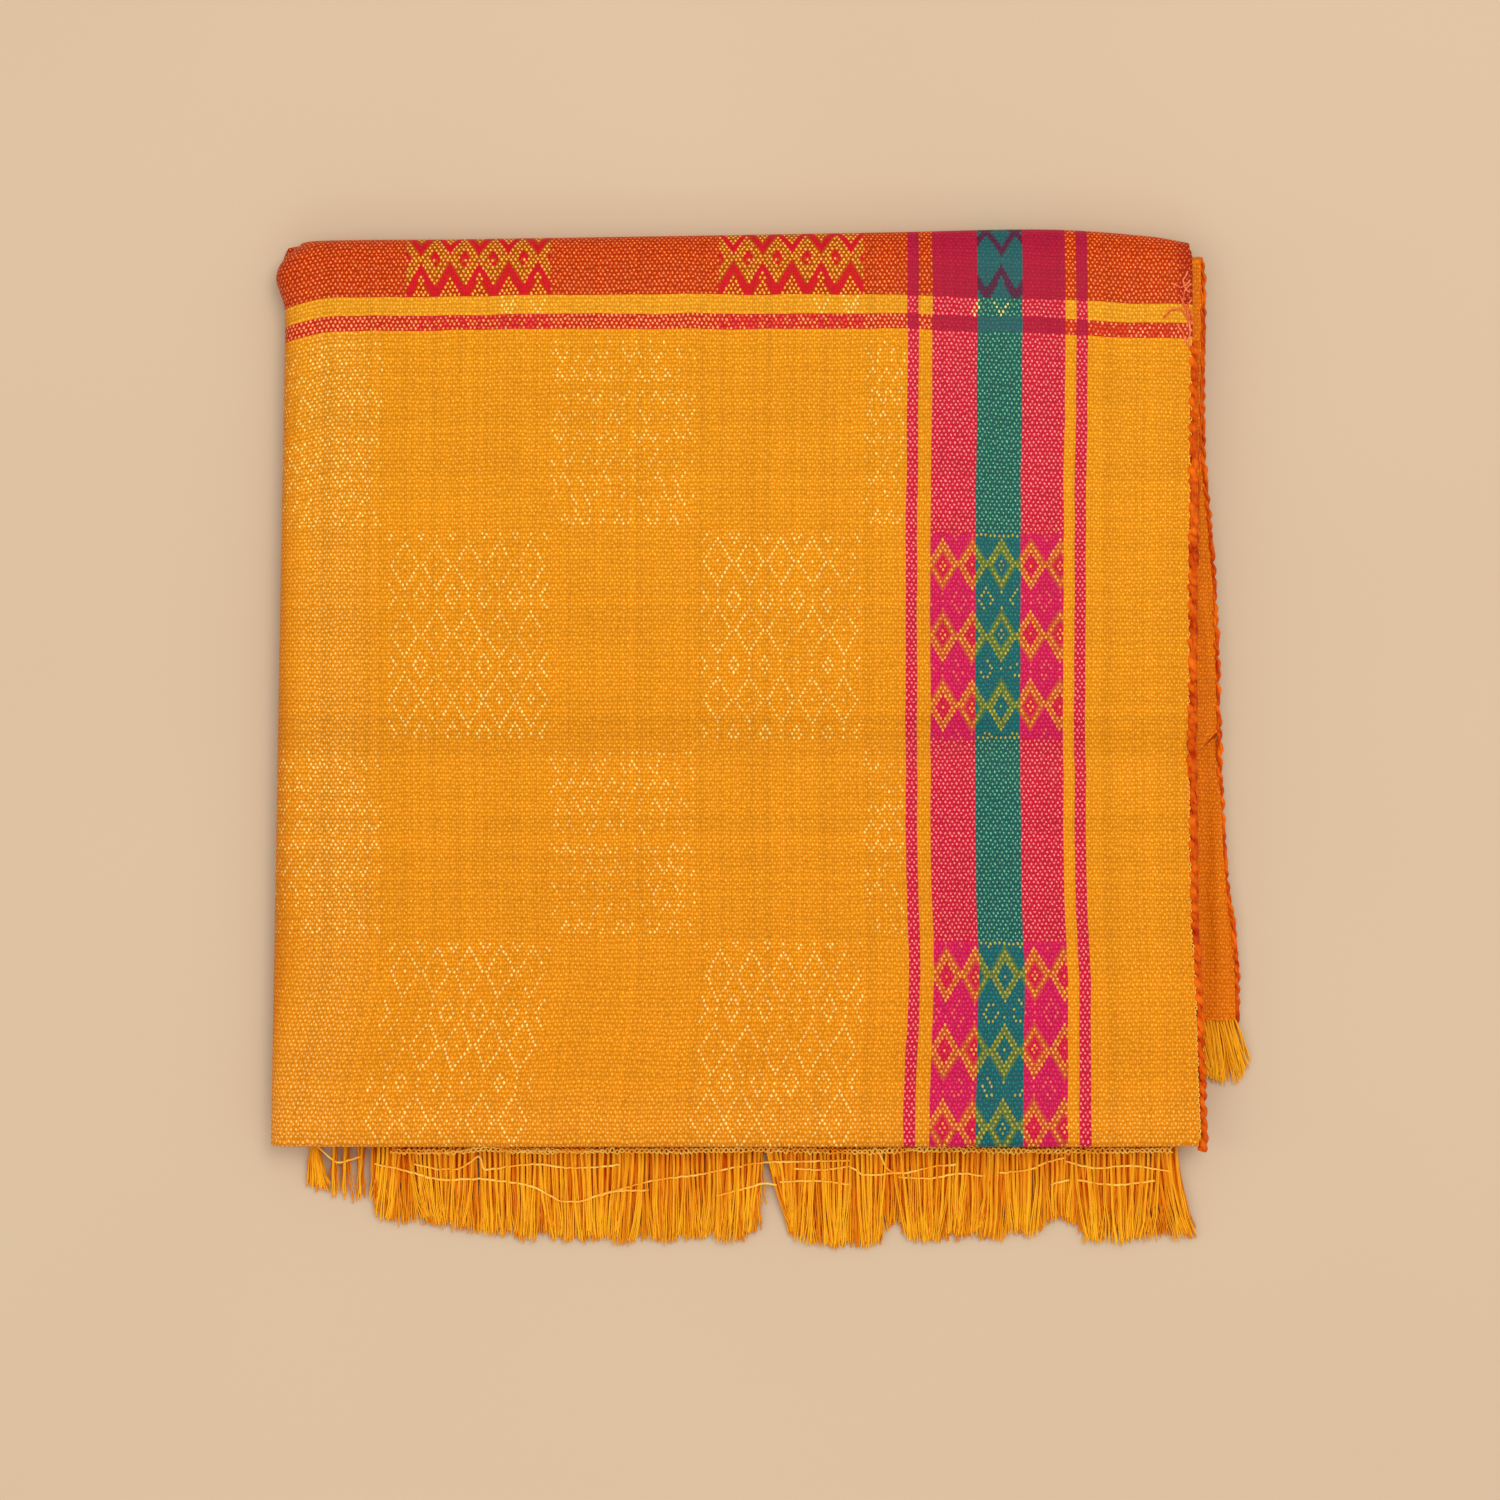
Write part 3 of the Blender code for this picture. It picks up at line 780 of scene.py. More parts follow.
# %% The threads under a point of the cloth
class Threads:
    """What the recipe knows about the crossing under a point of the cloth."""

    def __init__(self, recipe):
        across, length, _ = recipe.split(recipe.node("ShaderNodeUVMap", {"uv_map": "threads"}))
        across = across * 1000.0
        across = across.least(WIDTH - across)
        length = length * 1000.0
        self.across = across + (recipe.noise(across, length, 0.045) - 0.5) * 0.9
        self.length = length + (recipe.noise(self.across + 900.0, length, 0.035) - 0.5) * 1.5
        a, b = self.across / WARP, self.length / WEFT
        self.end, self.pick = a.floor(), b.floor()
        self.odd = (self.end + self.pick) % 2.0
        self.end_mm = (self.end + 0.5) * WARP
        self.pick_mm = (self.pick + 0.5) * WEFT
        self.chance = recipe.speck(self.end, self.pick)
        slip = recipe.noise(self.across * 0.9, self.length * 0.6 + 77.0, 1.0, 1.0) - 0.5
        fa = a - self.end - 0.5 + slip * 0.5 + (recipe.speck(self.end, self.pick + 500.0) - 0.5) * 0.30
        fb = b - self.pick - 0.5 - slip * 0.5 + (recipe.speck(self.end + 500.0, self.pick) - 0.5) * 0.34
        self.dome = (1 - fa * fa * 3.0 - fb * fb * 5.6).clamped()
        self.grain = recipe.noise(self.across * 1.15, self.length * 0.85 + 31.0, 1.0, 3.0) - 0.5
        self.faded = recipe.noise(self.across + 40.0, self.length, 0.05, 1.0)
        # Nearness to the lengthwise fold, which the recipe uses for a painted highlight on the dots there.
        self.near_fold = ((self.across - NEAR_LEFT_FOLD) / 16.0).clamped()


# %% [markdown]
# The bands and stripes only swap colours. `ground` is the dye of the yarn that lies low, and
# `spot` the dye of the yarn that comes up as a dot. Where a dyed weft crosses the yellow warp,
# the dots are warp. Along the lengthwise fold and the front fold the dots are painted paler, a
# painted highlight where the cloth turns over. In the red band the dots are painted lighter and
# pinker towards the yellow stripe, painted light that leaves the band darker up on the back
# roll. At the selvedge of the red band the red weft has frayed into a darker edge.

# %% Stripes and bands
def stripe_masks(t):
    pinks = t.end_mm.between(*BORDER["pink outer"]) + t.end_mm.between(*BORDER["pink inner"])
    thin = t.end_mm.between(*BORDER["thin outer"]) + t.end_mm.between(*BORDER["thin inner"])
    band = t.pick_mm < YELLOW_STRIPE[0]
    stripe = t.pick_mm.between(*RED_STRIPE)
    return {"pinks": pinks, "pink": (thin + pinks).least(1.0), "teal": t.end_mm.between(*BORDER["teal"]),
            "band": band, "stripe": stripe, "red": band + stripe}


def dyed_stripes(recipe, t, mask):
    """The two dyes of every crossing before any figure, and the mask of the frayed edge."""
    over, pink, teal, red = recipe.over, mask["pink"], mask["teal"], mask["red"]
    # Painted highlight: the dots are painted paler along the lengthwise fold and the front fold.
    shine = t.near_fold * (1 - ((t.across - 331.0) / 12.0).clamped())
    front_fold_highlight = ((t.length - 282.0) / 14.0).clamped() * (t.length < FRONT_FOLD_LINE)
    yellow = t.pick_mm.between(*YELLOW_STRIPE) * (1 - pink - teal)
    # Painted light: the red band's dots grow lighter and pinker towards the yellow stripe, and stay darker up on
    # the back roll.
    lift = ((t.pick + 34.0) / 26.0).clamped()

    spot = over((shine * 0.8 + front_fold_highlight * 0.4).least(1.0), YARN["maize"], YARN["pale"])
    spot = over(teal, over(pink, spot, YARN["pink dot"]), YARN["teal dot"])
    spot = over(red, spot, over(lift * 0.45, YARN["ember"], YARN["salmon"]))
    spot = over(mask["stripe"], over(yellow, spot, YARN["straw dot"]), YARN["salmon"])

    ground = over(teal, over(pink, YARN["marigold"], YARN["pink"]), YARN["teal"])
    ground = over(yellow, over(red, ground, YARN["rust"]), YARN["straw"])
    ground = over(mask["stripe"], ground, YARN["brick"])
    ground = over(red * teal, over(red * pink, ground, YARN["cerise"]), YARN["deep teal"])
    frayed = (t.across < 1.5 + recipe.noise(t.across * 0.3, t.length * 1.4, 0.5) * 5.5) * mask["band"]
    return over(frayed, ground, YARN["garnet"]), spot, frayed


# %% [markdown]
# The figures are laid over the stripes. In the border zones and in the brocade blocks the weft
# floats over several ends, which hides the little dots, so `plain` tells how much of the plain
# weave still shows.

# %% Figures over the stripes
def dyed_figures(recipe, t, mask, ground, spot, frayed):
    """The two dyes with the border and brocade figures in them, and how much plain weave is left."""
    over, teal, pinks = recipe.over, mask["teal"], mask["pinks"]
    border = border_figures(t.end, t.pick)
    band = brocade(t.end, t.pick)
    zone = border["border zone"]
    ground = over(zone * teal, over(zone * pinks, ground, YARN["magenta"]), YARN["deep teal"])
    ground = over(border["border heart"] * pinks, ground, YARN["pink"])
    ground = over(border["border line"] * 0.8, ground, over(teal, YARN["bronze"], YARN["moss"]))
    spot = over(zone, spot, over(teal, YARN["rose"], YARN["sea"]))
    plain = (1 - zone * 0.35) * (1 - (mask["pink"] + teal) * mask["red"] * 0.95) * (1 - frayed * 0.4)

    inside = (1 - band["gable"]) * band["block"] * mask["band"]
    solid = (band["gable"] + band["eye"]).least(1.0) * band["block"] * mask["band"]
    ground = over(inside * (1 - band["under gable"]), ground, YARN["olive"])
    ground = over(solid, ground, YARN["crimson"])
    ground = over(band["gable"] * band["border"] * teal * mask["band"], ground, YARN["plum"])
    spot = over(inside, spot, YARN["gold"])

    patch = mask["stripe"] * (recipe.noise(t.across * 1.0, t.length * 0.5, 0.42, 0.0) > 0.5)
    patch = patch * ((t.end - BLOCK_START) % BLOCK_REPEAT < 64.0)
    ground = over(patch * (t.end_mm > FIELD_FROM), ground, YARN["crimson"])
    plain = plain * (1 - solid) * (1 - patch * 0.7)
    bright = (inside * 0.95 + mask["stripe"] * 0.85) * t.odd * (t.dome * 2.0).clamped()
    return ground, spot, plain, bright, border, band


# %% [markdown]
# The last step puts the dots on the ground, adds the golden and the pale dots of the figures,
# and makes the whole uneven: every end and every pick took the dye a little differently. Shade
# is painted into the colour too: the rolled edge is painted darker and a deeper orange, the old
# fold line is painted darker as painted shade in its trough, the cloth is painted lighter and
# yellower towards the back, and the low parts of each thread are painted in shade.
# The same heights lift the threads through a Bump node. Silk-like yarn has a soft wide shine, so
# the roughness is medium and a little sheen is added.

# %% The weave recipe
def woven(name, depth=1.0, shade=(1.0, 1.0, 1.0)):
    recipe = Recipe(name, Sheen_Weight=0.03, Sheen_Roughness=0.35, Sheen_Tint=dye(255, 200, 110),
                    Specular_IOR_Level=0.22, Specular_Tint=dye(255, 206, 130))
    over = recipe.over
    t = Threads(recipe)
    mask = stripe_masks(t)
    teal = mask["teal"]
    ground, spot, frayed = dyed_stripes(recipe, t, mask)
    ground, spot, plain, bright, border, band = dyed_figures(recipe, t, mask, ground, spot, frayed)

    dyed = (mask["pink"] + teal) * (1 - mask["red"])
    dot = ((t.dome - 0.12 * dyed - 0.34 * t.chance + 0.6 * t.grain) * 2.6).clamped()
    dot = dot * t.odd * (0.55 + 0.45 * t.chance) * (0.62 + 0.38 * (dyed + mask["red"]).least(1.0))
    dot = dot.most(bright)
    colour = over(dot * plain, ground, spot)

    full = (t.dome * 2.4).least(1.0)
    seeds = border["border seed"] * (teal * 0.9 + mask["pinks"] * 0.28) * (t.chance > 0.3)
    seeds = seeds + border["border rim"] * teal
    gold = (border["border dot"] * (0.5 + 0.5 * t.chance) + seeds).least(1.0) * full
    colour = over(gold, colour, over(teal, YARN["gold"], YARN["green gold"]))
    colour = over(band["vee"] * full * 0.8, colour, YARN["pale"])
    field = field_figures(recipe, t.end, t.pick)
    # Painted highlight: near the lengthwise fold more of the pale figure dots show.
    show = (t.faded * 2.2 - 0.75 + t.near_fold * 0.7 + recipe.speck(t.pick, t.end + 5.0) * 1.0).clamped()
    seed_dot = (t.dome * 2.6).least(1.0) * show
    pale = ((field["field lattice"] + field["field strokes"] * 0.85) * seed_dot).least(1.0)
    colour = over(pale * 0.82, colour, YARN["pale"])

    # Painted shade: the old fold line and the rolled left edge are painted darker.
    fold_line = ((t.length - OLD_FOLD_LINE) / 9.0).maths("POWER", 2.0)
    painted_fold_shade = 1 - 0.07 * (1 - fold_line).clamped() - 0.16 * ((t.across - ROLLED_FROM) / 10.0).clamped()
    uneven = 0.90 + 0.12 * recipe.speck(t.end, 7.0) + 0.08 * recipe.speck(t.pick, 31.0) + 0.10 * (t.faded - 0.5)
    # Painted shade in the low parts of each thread.
    threads = 0.80 + 0.24 * t.dome
    uneven = (uneven + t.grain * 0.42) * (0.95 + 0.10 * t.chance) * threads * painted_fold_shade * depth
    # Painted light: the green is raised towards the back and lowered towards the front, so the top is lighter at
    # the back.
    painted_light_gradient = 1.045 - 0.085 * ((t.length - 10.0) / 290.0).clamped()
    # Painted shade: on the rolled edge the green and blue are lowered, a deeper orange.
    rolled = ((t.across - ROLLED_FROM) / 9.0).clamped()
    tint = recipe.join(uneven * shade[0], uneven * painted_light_gradient * shade[1] * (1 - 0.14 * rolled),
                       uneven * shade[2] * (1 - 0.5 * rolled))
    colour = recipe.vector("MULTIPLY", colour, tint)
    recipe.give(Base_Color=colour, Roughness=0.48 - 0.12 * dot + 0.06 * (t.chance - 0.5))
    relief = t.dome * (0.55 + 0.45 * t.odd) + 0.35 * (gold + pale).least(1.0) * t.dome
    recipe.give(Normal=recipe.node("ShaderNodeBump", {}, Strength=0.55, Distance=0.00022, Height=relief))
    return recipe


body_weave = woven("body_cloth")
pallu_weave = woven("pallu_cloth")
# Painted shade: the inner stretches are a darker, deeper orange copy of the body weave, set by `depth` and `shade`.
inner_weave = woven("inner_cloth", depth=0.96, shade=(1.0, 0.68, 0.36))
body_weave.wear(top_cloth)
pallu_weave.wear(pallu_cloth)
inner_weave.wear(inner_cloth)
print("nodes in the weave recipe:", len(body_weave.tree.nodes))

# %% [markdown]
# ## The fringe
#
# The fringe is the cloth's own warp: past the last pick the warp ends hang free, a few fine
# fibres to each end. There are hundreds, so they are grown by Geometry Nodes. A mesh of bare
# points holds one point for each fibre, with its tip, its bow to the side and how far it strays
# from its neighbours as named attributes. The tree sets a short curve on every point, bends it
# between root and tip, and sweeps a four-sided profile along it.

# %% A tree of Geometry Nodes
class Grower(Tree):
    """A Geometry Nodes tree with named inputs, run once on a piece and then made permanent."""

    def __init__(self, name):
        super().__init__(bpy.data.node_groups.new(name, "GeometryNodeTree"))
        self.sockets = {}
        face = self.tree.interface
        face.new_socket("Geometry", in_out="INPUT", socket_type="NodeSocketGeometry")
        face.new_socket("Geometry", in_out="OUTPUT", socket_type="NodeSocketGeometry")
        self.start = self.tree.nodes.new("NodeGroupInput")
        self.end = self.tree.nodes.new("NodeGroupOutput")

    def size(self, name, kind="Float"):
        made = self.tree.interface.new_socket(name, in_out="INPUT", socket_type="NodeSocket" + kind)
        self.sockets[name] = made.identifier
        return Wire(self, self.start.outputs[name])

    def geometry(self):
        return Wire(self, self.start.outputs["Geometry"])

    def attribute(self, name, kind="FLOAT_VECTOR"):
        return self.node("GeometryNodeInputNamedAttribute", {"data_type": kind}, name)

    def noise(self, x, y, z):
        return self.node("ShaderNodeTexNoise", {"noise_dimensions": "3D"}, self.join(x, y, z),
                         Scale=1.0, Detail=1.0) - 0.5

    def scaled(self, vector, number):
        return self.node("ShaderNodeVectorMath", {"operation": "SCALE"}, vector, Scale=number)

    def toned(self, geometry, value):
        return self.node("GeometryNodeStoreNamedAttribute", {"data_type": "FLOAT", "domain": "POINT"}, geometry,
                         Name="tone", Value=value)

    def swept(self, curve, sides, radius):
        profile = self.node("GeometryNodeCurvePrimitiveCircle", {}, sides, Radius=1.0)
        return self.node("GeometryNodeCurveToMesh", {}, curve, profile, radius, True)

    def finish(self, geometry, recipe):
        whole = self.node("GeometryNodeRealizeInstances", {}, geometry)
        smooth_faces = self.node("GeometryNodeSetShadeSmooth", {}, whole)
        dressed = self.node("GeometryNodeSetMaterial", {}, smooth_faces, Material=recipe.material)
        self.tree.links.new(dressed.socket, self.end.inputs["Geometry"])

    def run(self, piece, **sizes):
        grown = piece.modifiers.new("grown", "NODES")
        grown.node_group = self.tree
        for name, value in sizes.items():
            grown[self.sockets[name.replace("_", " ")]] = value
        plain_mesh(piece)
        print("%s: %d faces" % (piece.name, len(piece.data.polygons)))
        return piece


# %% [markdown]
# Loose yarn has no weave to show. What shows is the run of its fibres, which is drawn as fine
# streaks of lighter and darker gold, and a tone of its own for each fibre. The hidden part near
# the cloth is a deeper orange, because light only reaches it through other yarn.

# %% Yarn recipes
def loose_yarn(name, dark, light, roughness=0.42):
    recipe = Recipe(name, Specular_IOR_Level=0.3, Specular_Tint=dye(255, 196, 80), Sheen_Weight=0.03,
                    Sheen_Roughness=0.35, Sheen_Tint=dye(255, 200, 90))
    tone = recipe.node("ShaderNodeAttribute", {"attribute_name": "tone"}, out=2)
    x, y, _ = recipe.split(recipe.node("ShaderNodeTexCoord", {}, out=3))
    streak = recipe.noise(x * 2600.0, y * 120.0, 1.0, 2.0)
    patch = recipe.noise(x * 90.0, y * 60.0, 1.0, 1.0)
    share = (tone * 0.75 + (streak - 0.5) * 0.7 + (patch - 0.5) * 0.35 + 0.1).clamped()
    recipe.give(Base_Color=recipe.over(share, dark, light), Roughness=roughness + 0.1 * (streak - 0.5))
    recipe.give(Normal=recipe.node("ShaderNodeBump", {}, Strength=0.3, Distance=0.0001, Height=streak))
    return recipe


fringe_yarn = loose_yarn("fringe_yarn", dye(212, 70, 0), dye(255, 186, 34))
pick_yarn = loose_yarn("pick_yarn", dye(252, 160, 26), dye(255, 220, 104))
edge_yarn = loose_yarn("edge_yarn", dye(172, 28, 2), dye(244, 112, 14), 0.5)


# %% [markdown]
# The tree for the fibres: a straight line on every point, moved between `root` and `tip`, with
# a bow in the middle, a stray end and a small wave. The roots are stored as a deeper tone, painted
# shade, and the tips as a lighter one, painted light.

# %% Growing fibres
def fibre_tree():
    grow = Grower("loose_warp_ends")
    radius = grow.size("Fibre radius")
    lift = grow.size("Lift")
    curl = grow.size("Curl")
    seed = grow.size("Seed")
    line = grow.node("GeometryNodeCurvePrimitiveLine", {}, (0.0, 0.0, 0.0), (1.0, 0.0, 0.0))
    line = grow.node("GeometryNodeResampleCurve", {}, line, Count=7)
    fibres = grow.node("GeometryNodeInstanceOnPoints", {}, grow.geometry(), Instance=line)
    fibres = grow.node("GeometryNodeRealizeInstances", {}, fibres)
    share = grow.node("GeometryNodeSplineParameter")
    root, tip = grow.attribute("root"), grow.attribute("tip")
    bow, stray = grow.attribute("bow"), grow.attribute("stray")
    from_root = grow.node("ShaderNodeMix", {"data_type": "VECTOR"}, out=1)
    for place, value in ((0, share), (4, root), (5, tip)):
        grow.feed(from_root.socket.node.inputs[place], value)
    hump = share * (1 - share) * 4.0
    loose = share.maths("POWER", 2.2)
    place = grow.vector("ADD", from_root, grow.scaled(bow, hump))
    place = grow.vector("ADD", place, grow.scaled(stray, loose))
    x, y, z = grow.split(place)
    wave = grow.noise(x * 260.0, y * 140.0, z * 500.0 + seed)
    place = grow.join(x + wave * curl * (share + 0.15), y, z + hump * lift)
    fibres = grow.node("GeometryNodeSetPosition", {}, fibres, Position=place)
    # Painted shade at the roots and painted light at the tips.
    fibres = grow.toned(fibres, grow.attribute("tone", "FLOAT") + share * 0.60 - 0.20)
    grow.finish(grow.swept(fibres, 4, radius * (1.0 - share * share * 0.35)), fringe_yarn)
    return grow


def point_piece(name, points, attributes, edges=()):
    """Bare points as a mesh, with named attributes for a tree to read."""
    mesh = bpy.data.meshes.new(name)
    mesh.from_pydata([p * MM for p in points], list(edges), [])
    for key, values in attributes.items():
        if isinstance(values[0], Vector):
            layer = mesh.attributes.new(key, "FLOAT_VECTOR", "POINT")
            layer.data.foreach_set("vector", [c * MM for v in values for c in v])
        else:
            layer = mesh.attributes.new(key, "FLOAT", "POINT")
            layer.data.foreach_set("value", values)
    piece = bpy.data.objects.new(name, mesh)
    bpy.context.scene.collection.objects.link(piece)
    return piece


# %% [markdown]
# The ends aren't even. They gather in bunches of three to seven yarns that lean together, in one
# place the fringe parts and lets the table show, and in a few places it is worn short. Five
# layers lie on each other, and the lowest two spread their fibres wider, to close the gaps.

# %% Where the fibres stand
def fringe_points(seed, layers, span, tip_at, root_y, spacing, gather=None):
    dice = random.Random(seed)
    made = {"root": [], "tip": [], "bow": [], "stray": [], "tone": []}
    for root_z, reach, tone, fibres, spread in layers:
        x = span[0] + dice.uniform(0.0, 0.8)
        bunch, bunch_x, lean, shrink, bunch_reach = 0, x, 0.0, 1.0, 0.0
        while x < span[1]:
            if bunch <= 0:
                bunch = dice.randint(3, 7)
                bunch_x = x + 0.5 * bunch * spacing
                lean = dice.gauss(0.0, 1.9)
                shrink = dice.uniform(0.5, 1.0)
                bunch_reach = dice.uniform(-1.6, 1.4)
            root_x, tip_x, gap, thin = x, bunch_x + (x - bunch_x) * shrink + lean, spacing, 1.0
            if gather:
                root_x, tip_x, gap, thin = gather(x, root_x, tip_x, gap)
            root = Vector((root_x, root_y, root_z + dice.uniform(-0.2, 0.3)))
            tip = Vector((tip_x, tip_at(tip_x) + bunch_reach + reach + dice.uniform(-1.0, 1.2),
                          0.75 + 0.35 * root_z + dice.uniform(0.0, 0.6)))
            bow = Vector((dice.gauss(0.0, 0.45) - 0.24 * (tip_x - root_x), 0.0, dice.uniform(0.0, 0.5)))
            yarn_tone = tone + dice.uniform(-0.2, 0.2)
            turn = dice.uniform(0.0, 6.28)
            count = fibres if thin > 0.9 else fibres - 1
            for k in range(count):
                angle = turn + 6.283 * k / count
                off = Vector((spread * math.cos(angle), 0.0, 0.24 * math.sin(angle)))
                made["root"].append(root + off)
                made["tip"].append(tip + off * 1.5)
                made["bow"].append(bow)
                made["stray"].append(Vector((dice.gauss(0.0, 0.6), dice.uniform(-1.0, 1.5),
                                             dice.uniform(-0.1, 0.5))))
                made["tone"].append(min(max(yarn_tone + dice.uniform(-0.16, 0.16), 0.0), 1.0))
            x += gap * dice.uniform(0.84, 1.18)
            bunch -= 1
    return made


def parted(x, root_x, tip_x, gap):
    """The first few yarns hang as one tassel, the next ones are few and thin, and one gap stands open."""
    if x < -165.0:
        return -172.0 + (x + 170.4) * 0.10, -170.6 + (x + 170.0) * 0.86, 1.1, 1.0
    if x < -150.0:
        return x, 0.5 * (x + tip_x), 5.2, 0.6
    if 0.0 < x < 16.0:
        return root_x, tip_x + 8.0 * (1.0 - x / 16.0), gap, 1.0
    if -14.0 < x <= 0.0:
        return root_x, tip_x - 2.6 * (1.0 + x / 14.0), gap, 1.0
    if x > 138.0:
        return root_x, tip_x + 7.0 * ((x - 138.0) / 20.0) ** 2, gap, 1.0
    return root_x, tip_x, gap, 1.0


def warp_fringe(name, made, radius, lift, curl, seed):
    piece = point_piece(name, made["root"], made)
    return fibre_tree().run(piece, Fibre_radius=radius * MM, Lift=lift * MM, Curl=curl * MM, Seed=float(seed))


# %% [markdown]
# Each layer is its height at the root, how far it reaches past the others, its tone, and the
# number and spread of the fibres in a yarn. The far end's fringe is a small tuft that splays.

# %% The two fringes
FRINGE_ROOT = -149.6
END_ROOT = -106.6
YARN_SPACING = 1.9
# Painted shade: the lower layers take darker tones.
UNDER_LAYERS = ((0.8, 1.8, -0.15, 3, 0.40), (1.0, 1.0, -0.05, 3, 0.40), (1.3, 0.2, 0.10, 4, 0.28),
                (1.9, -0.2, 0.38, 4, 0.24), (2.7, 0.4, 0.78, 4, 0.24))
under_made = fringe_points(11, UNDER_LAYERS, (-175.0, 158.4), lambda x: along(FRINGE_TIPS, x), FRINGE_ROOT,
                           YARN_SPACING, parted)
pallu_fringe = warp_fringe("pallu_fringe_yarn", under_made, 0.34, 1.3, 2.2, 3)
END_TIPS = ((165.6, -125.0), (169.0, -128.0), (173.0, -130.2), (178.4, -128.6), (181.2, -121.5))
END_TIP_X = ((156.0, 158.0), (165.6, 166.2), (169.0, 171.0), (173.0, 177.0), (178.4, 183.0), (181.2, 186.6))
# Painted shade: here too the lower layers take darker tones.
END_LAYERS = ((2.2, 0.4, 0.5, 4, 0.24), (3.0, -0.4, 0.8, 4, 0.24), (3.8, 0.4, 1.05, 4, 0.24))
end_made = fringe_points(29, END_LAYERS, (158.0, 181.0), lambda x: along(END_TIPS, x), END_ROOT, 1.15)
end_made["tip"] = [Vector((tip.x + along(END_TIP_X, root.x) - root.x, tip.y, tip.z))
                   for tip, root in zip(end_made["tip"], end_made["root"])]
end_fringe = warp_fringe("end_fringe_yarn", end_made, 0.26, -0.2, 1.3, 8)

# %% [markdown]
# ## Loose picks and rolled edges
#
# When the ends were left free, some weft picks slipped out of the cloth and still wander through
# the fringe, over one end and under the next. The selvedges are rolled: the last few warp ends
# and the turning weft twist into a lumpy cord. Both are a path with a rule along it, so one tree
# makes both. It twists a number of plies round the path and swells them unevenly.

# %% A tree for cords
def ply_tree(recipe):
    grow = Grower("plies_" + recipe.material.name)
    radius = grow.size("Ply radius")
    throw = grow.size("Throw")
    turns = grow.size("Turns per metre")
    lumps = grow.size("Lumps")
    count = grow.size("Plies", "Int")
    step = grow.size("Step")
    path = grow.node("GeometryNodeMeshToCurve", {}, grow.geometry())
    path = grow.node("GeometryNodeResampleCurve", {"mode": "LENGTH"}, path, Length=step)
    plies = grow.node("GeometryNodeDuplicateElements", {"domain": "SPLINE"}, path, Amount=count)
    number = Wire(grow, plies.socket.node.outputs[1])
    length = grow.node("GeometryNodeSplineParameter", out=1)
    x, y, z = grow.split(grow.node("GeometryNodeInputPosition"))
    uneven = grow.noise(x * 90.0, y * 90.0, number * 3.1)
    angle = length * turns * 6.2832 + number / count * 6.2832 + uneven * 5.0
    swing = throw * (1.0 + uneven * 1.2)
    place = grow.join(x + angle.maths("COSINE") * swing, y, z + angle.maths("SINE") * swing)
    moved = grow.node("GeometryNodeSetPosition", {}, plies, Position=place)
    lumpy = grow.noise(x * 60.0, y * 420.0, number * 9.7)
    mesh = grow.swept(moved, 6, radius * (1.0 + lumpy * lumps))
    grow.finish(grow.toned(mesh, 0.46 + lumpy * 1.8 + uneven * 2.2), recipe)
    return grow


edge_plies = ply_tree(edge_yarn)
pick_plies = ply_tree(pick_yarn)


def path_piece(name, paths):
    """Several open paths as one mesh of points and edges."""
    points, edges = [], []
    for path in paths:
        edges += [(len(points) + k, len(points) + k + 1) for k in range(len(path) - 1)]
        points += path
    return point_piece(name, points, {}, edges)


# %% [markdown]
# The first cord lies tight against the edge of the top face, and the second follows the fanned
# edge of the lower stretches. Each table is place along, place across and height. A sine that
# slips in and out of step gives the edge its small scallops.

# %% The selvedge of the top pair and that of the lower stretches
TOP_CORD = ((152.0, 164.4, 14.1), (92.0, 163.9, 14.1), (40.0, 163.6, 13.9), (0.0, 163.7, 13.8),
            (-66.0, 164.4, 13.7), (-92.0, 166.1, 13.3), (-156.0, 168.3, 12.5))
END_CORD = ((185.0, 167.0, 8.4), (178.0, 167.9, 8.6), (150.0, 168.0, 8.2), (136.0, 168.0, 6.6), (110.0, 168.4, 6.1),
            (84.0, 170.7, 5.9), (62.0, 172.4, 5.7), (35.0, 173.6, 5.6), (5.0, 174.4, 5.3), (-8.0, 174.9, 4.2),
            (-20.0, 175.6, 3.7), (-49.0, 177.2, 3.5), (-75.0, 180.6, 3.3), (-96.0, 182.0, 2.6),
            (-109.0, 181.8, 1.9))


def cord_path(table, shift=(0.0, 0.0), wave=0.35, seed=0):
    points = []
    for y in stations(table[-1][0], table[0][0], 1.2):
        sway = wave * noise.noise(Vector((y * 0.13, seed * 3.3, 1.1)))
        scallop = abs(math.sin(math.pi * y / 5.4 + 2.2 * noise.noise(Vector((y * 0.06, seed * 5.1, 2.7))))) - 0.5
        points.append(Vector((along(table, y, 1) + shift[0] + sway + 0.6 * scallop, y,
                              along(table, y, 2) + shift[1] + 0.5 * sway)))
    return points


selvedge_top = edge_plies.run(path_piece("selvedge_top_cord", [cord_path(TOP_CORD, (-0.7, 0.5), seed=1)]),
                              Ply_radius=1.25 * MM, Throw=0.8 * MM, Turns_per_metre=96.0, Lumps=1.3,
                              Plies=2, Step=0.9 * MM)
selvedge_end = edge_plies.run(path_piece("selvedge_end_cord", [cord_path(END_CORD, seed=2)]), Ply_radius=0.70 * MM,
                              Throw=0.5 * MM, Turns_per_metre=110.0, Lumps=1.5, Plies=2, Step=0.9 * MM)

# %% [markdown]
# Every other selvedge has a thin twisted edge too. It follows the edge of the cloth exactly,
# because it asks `cloth_point` for it, and it is kept clear of the table.

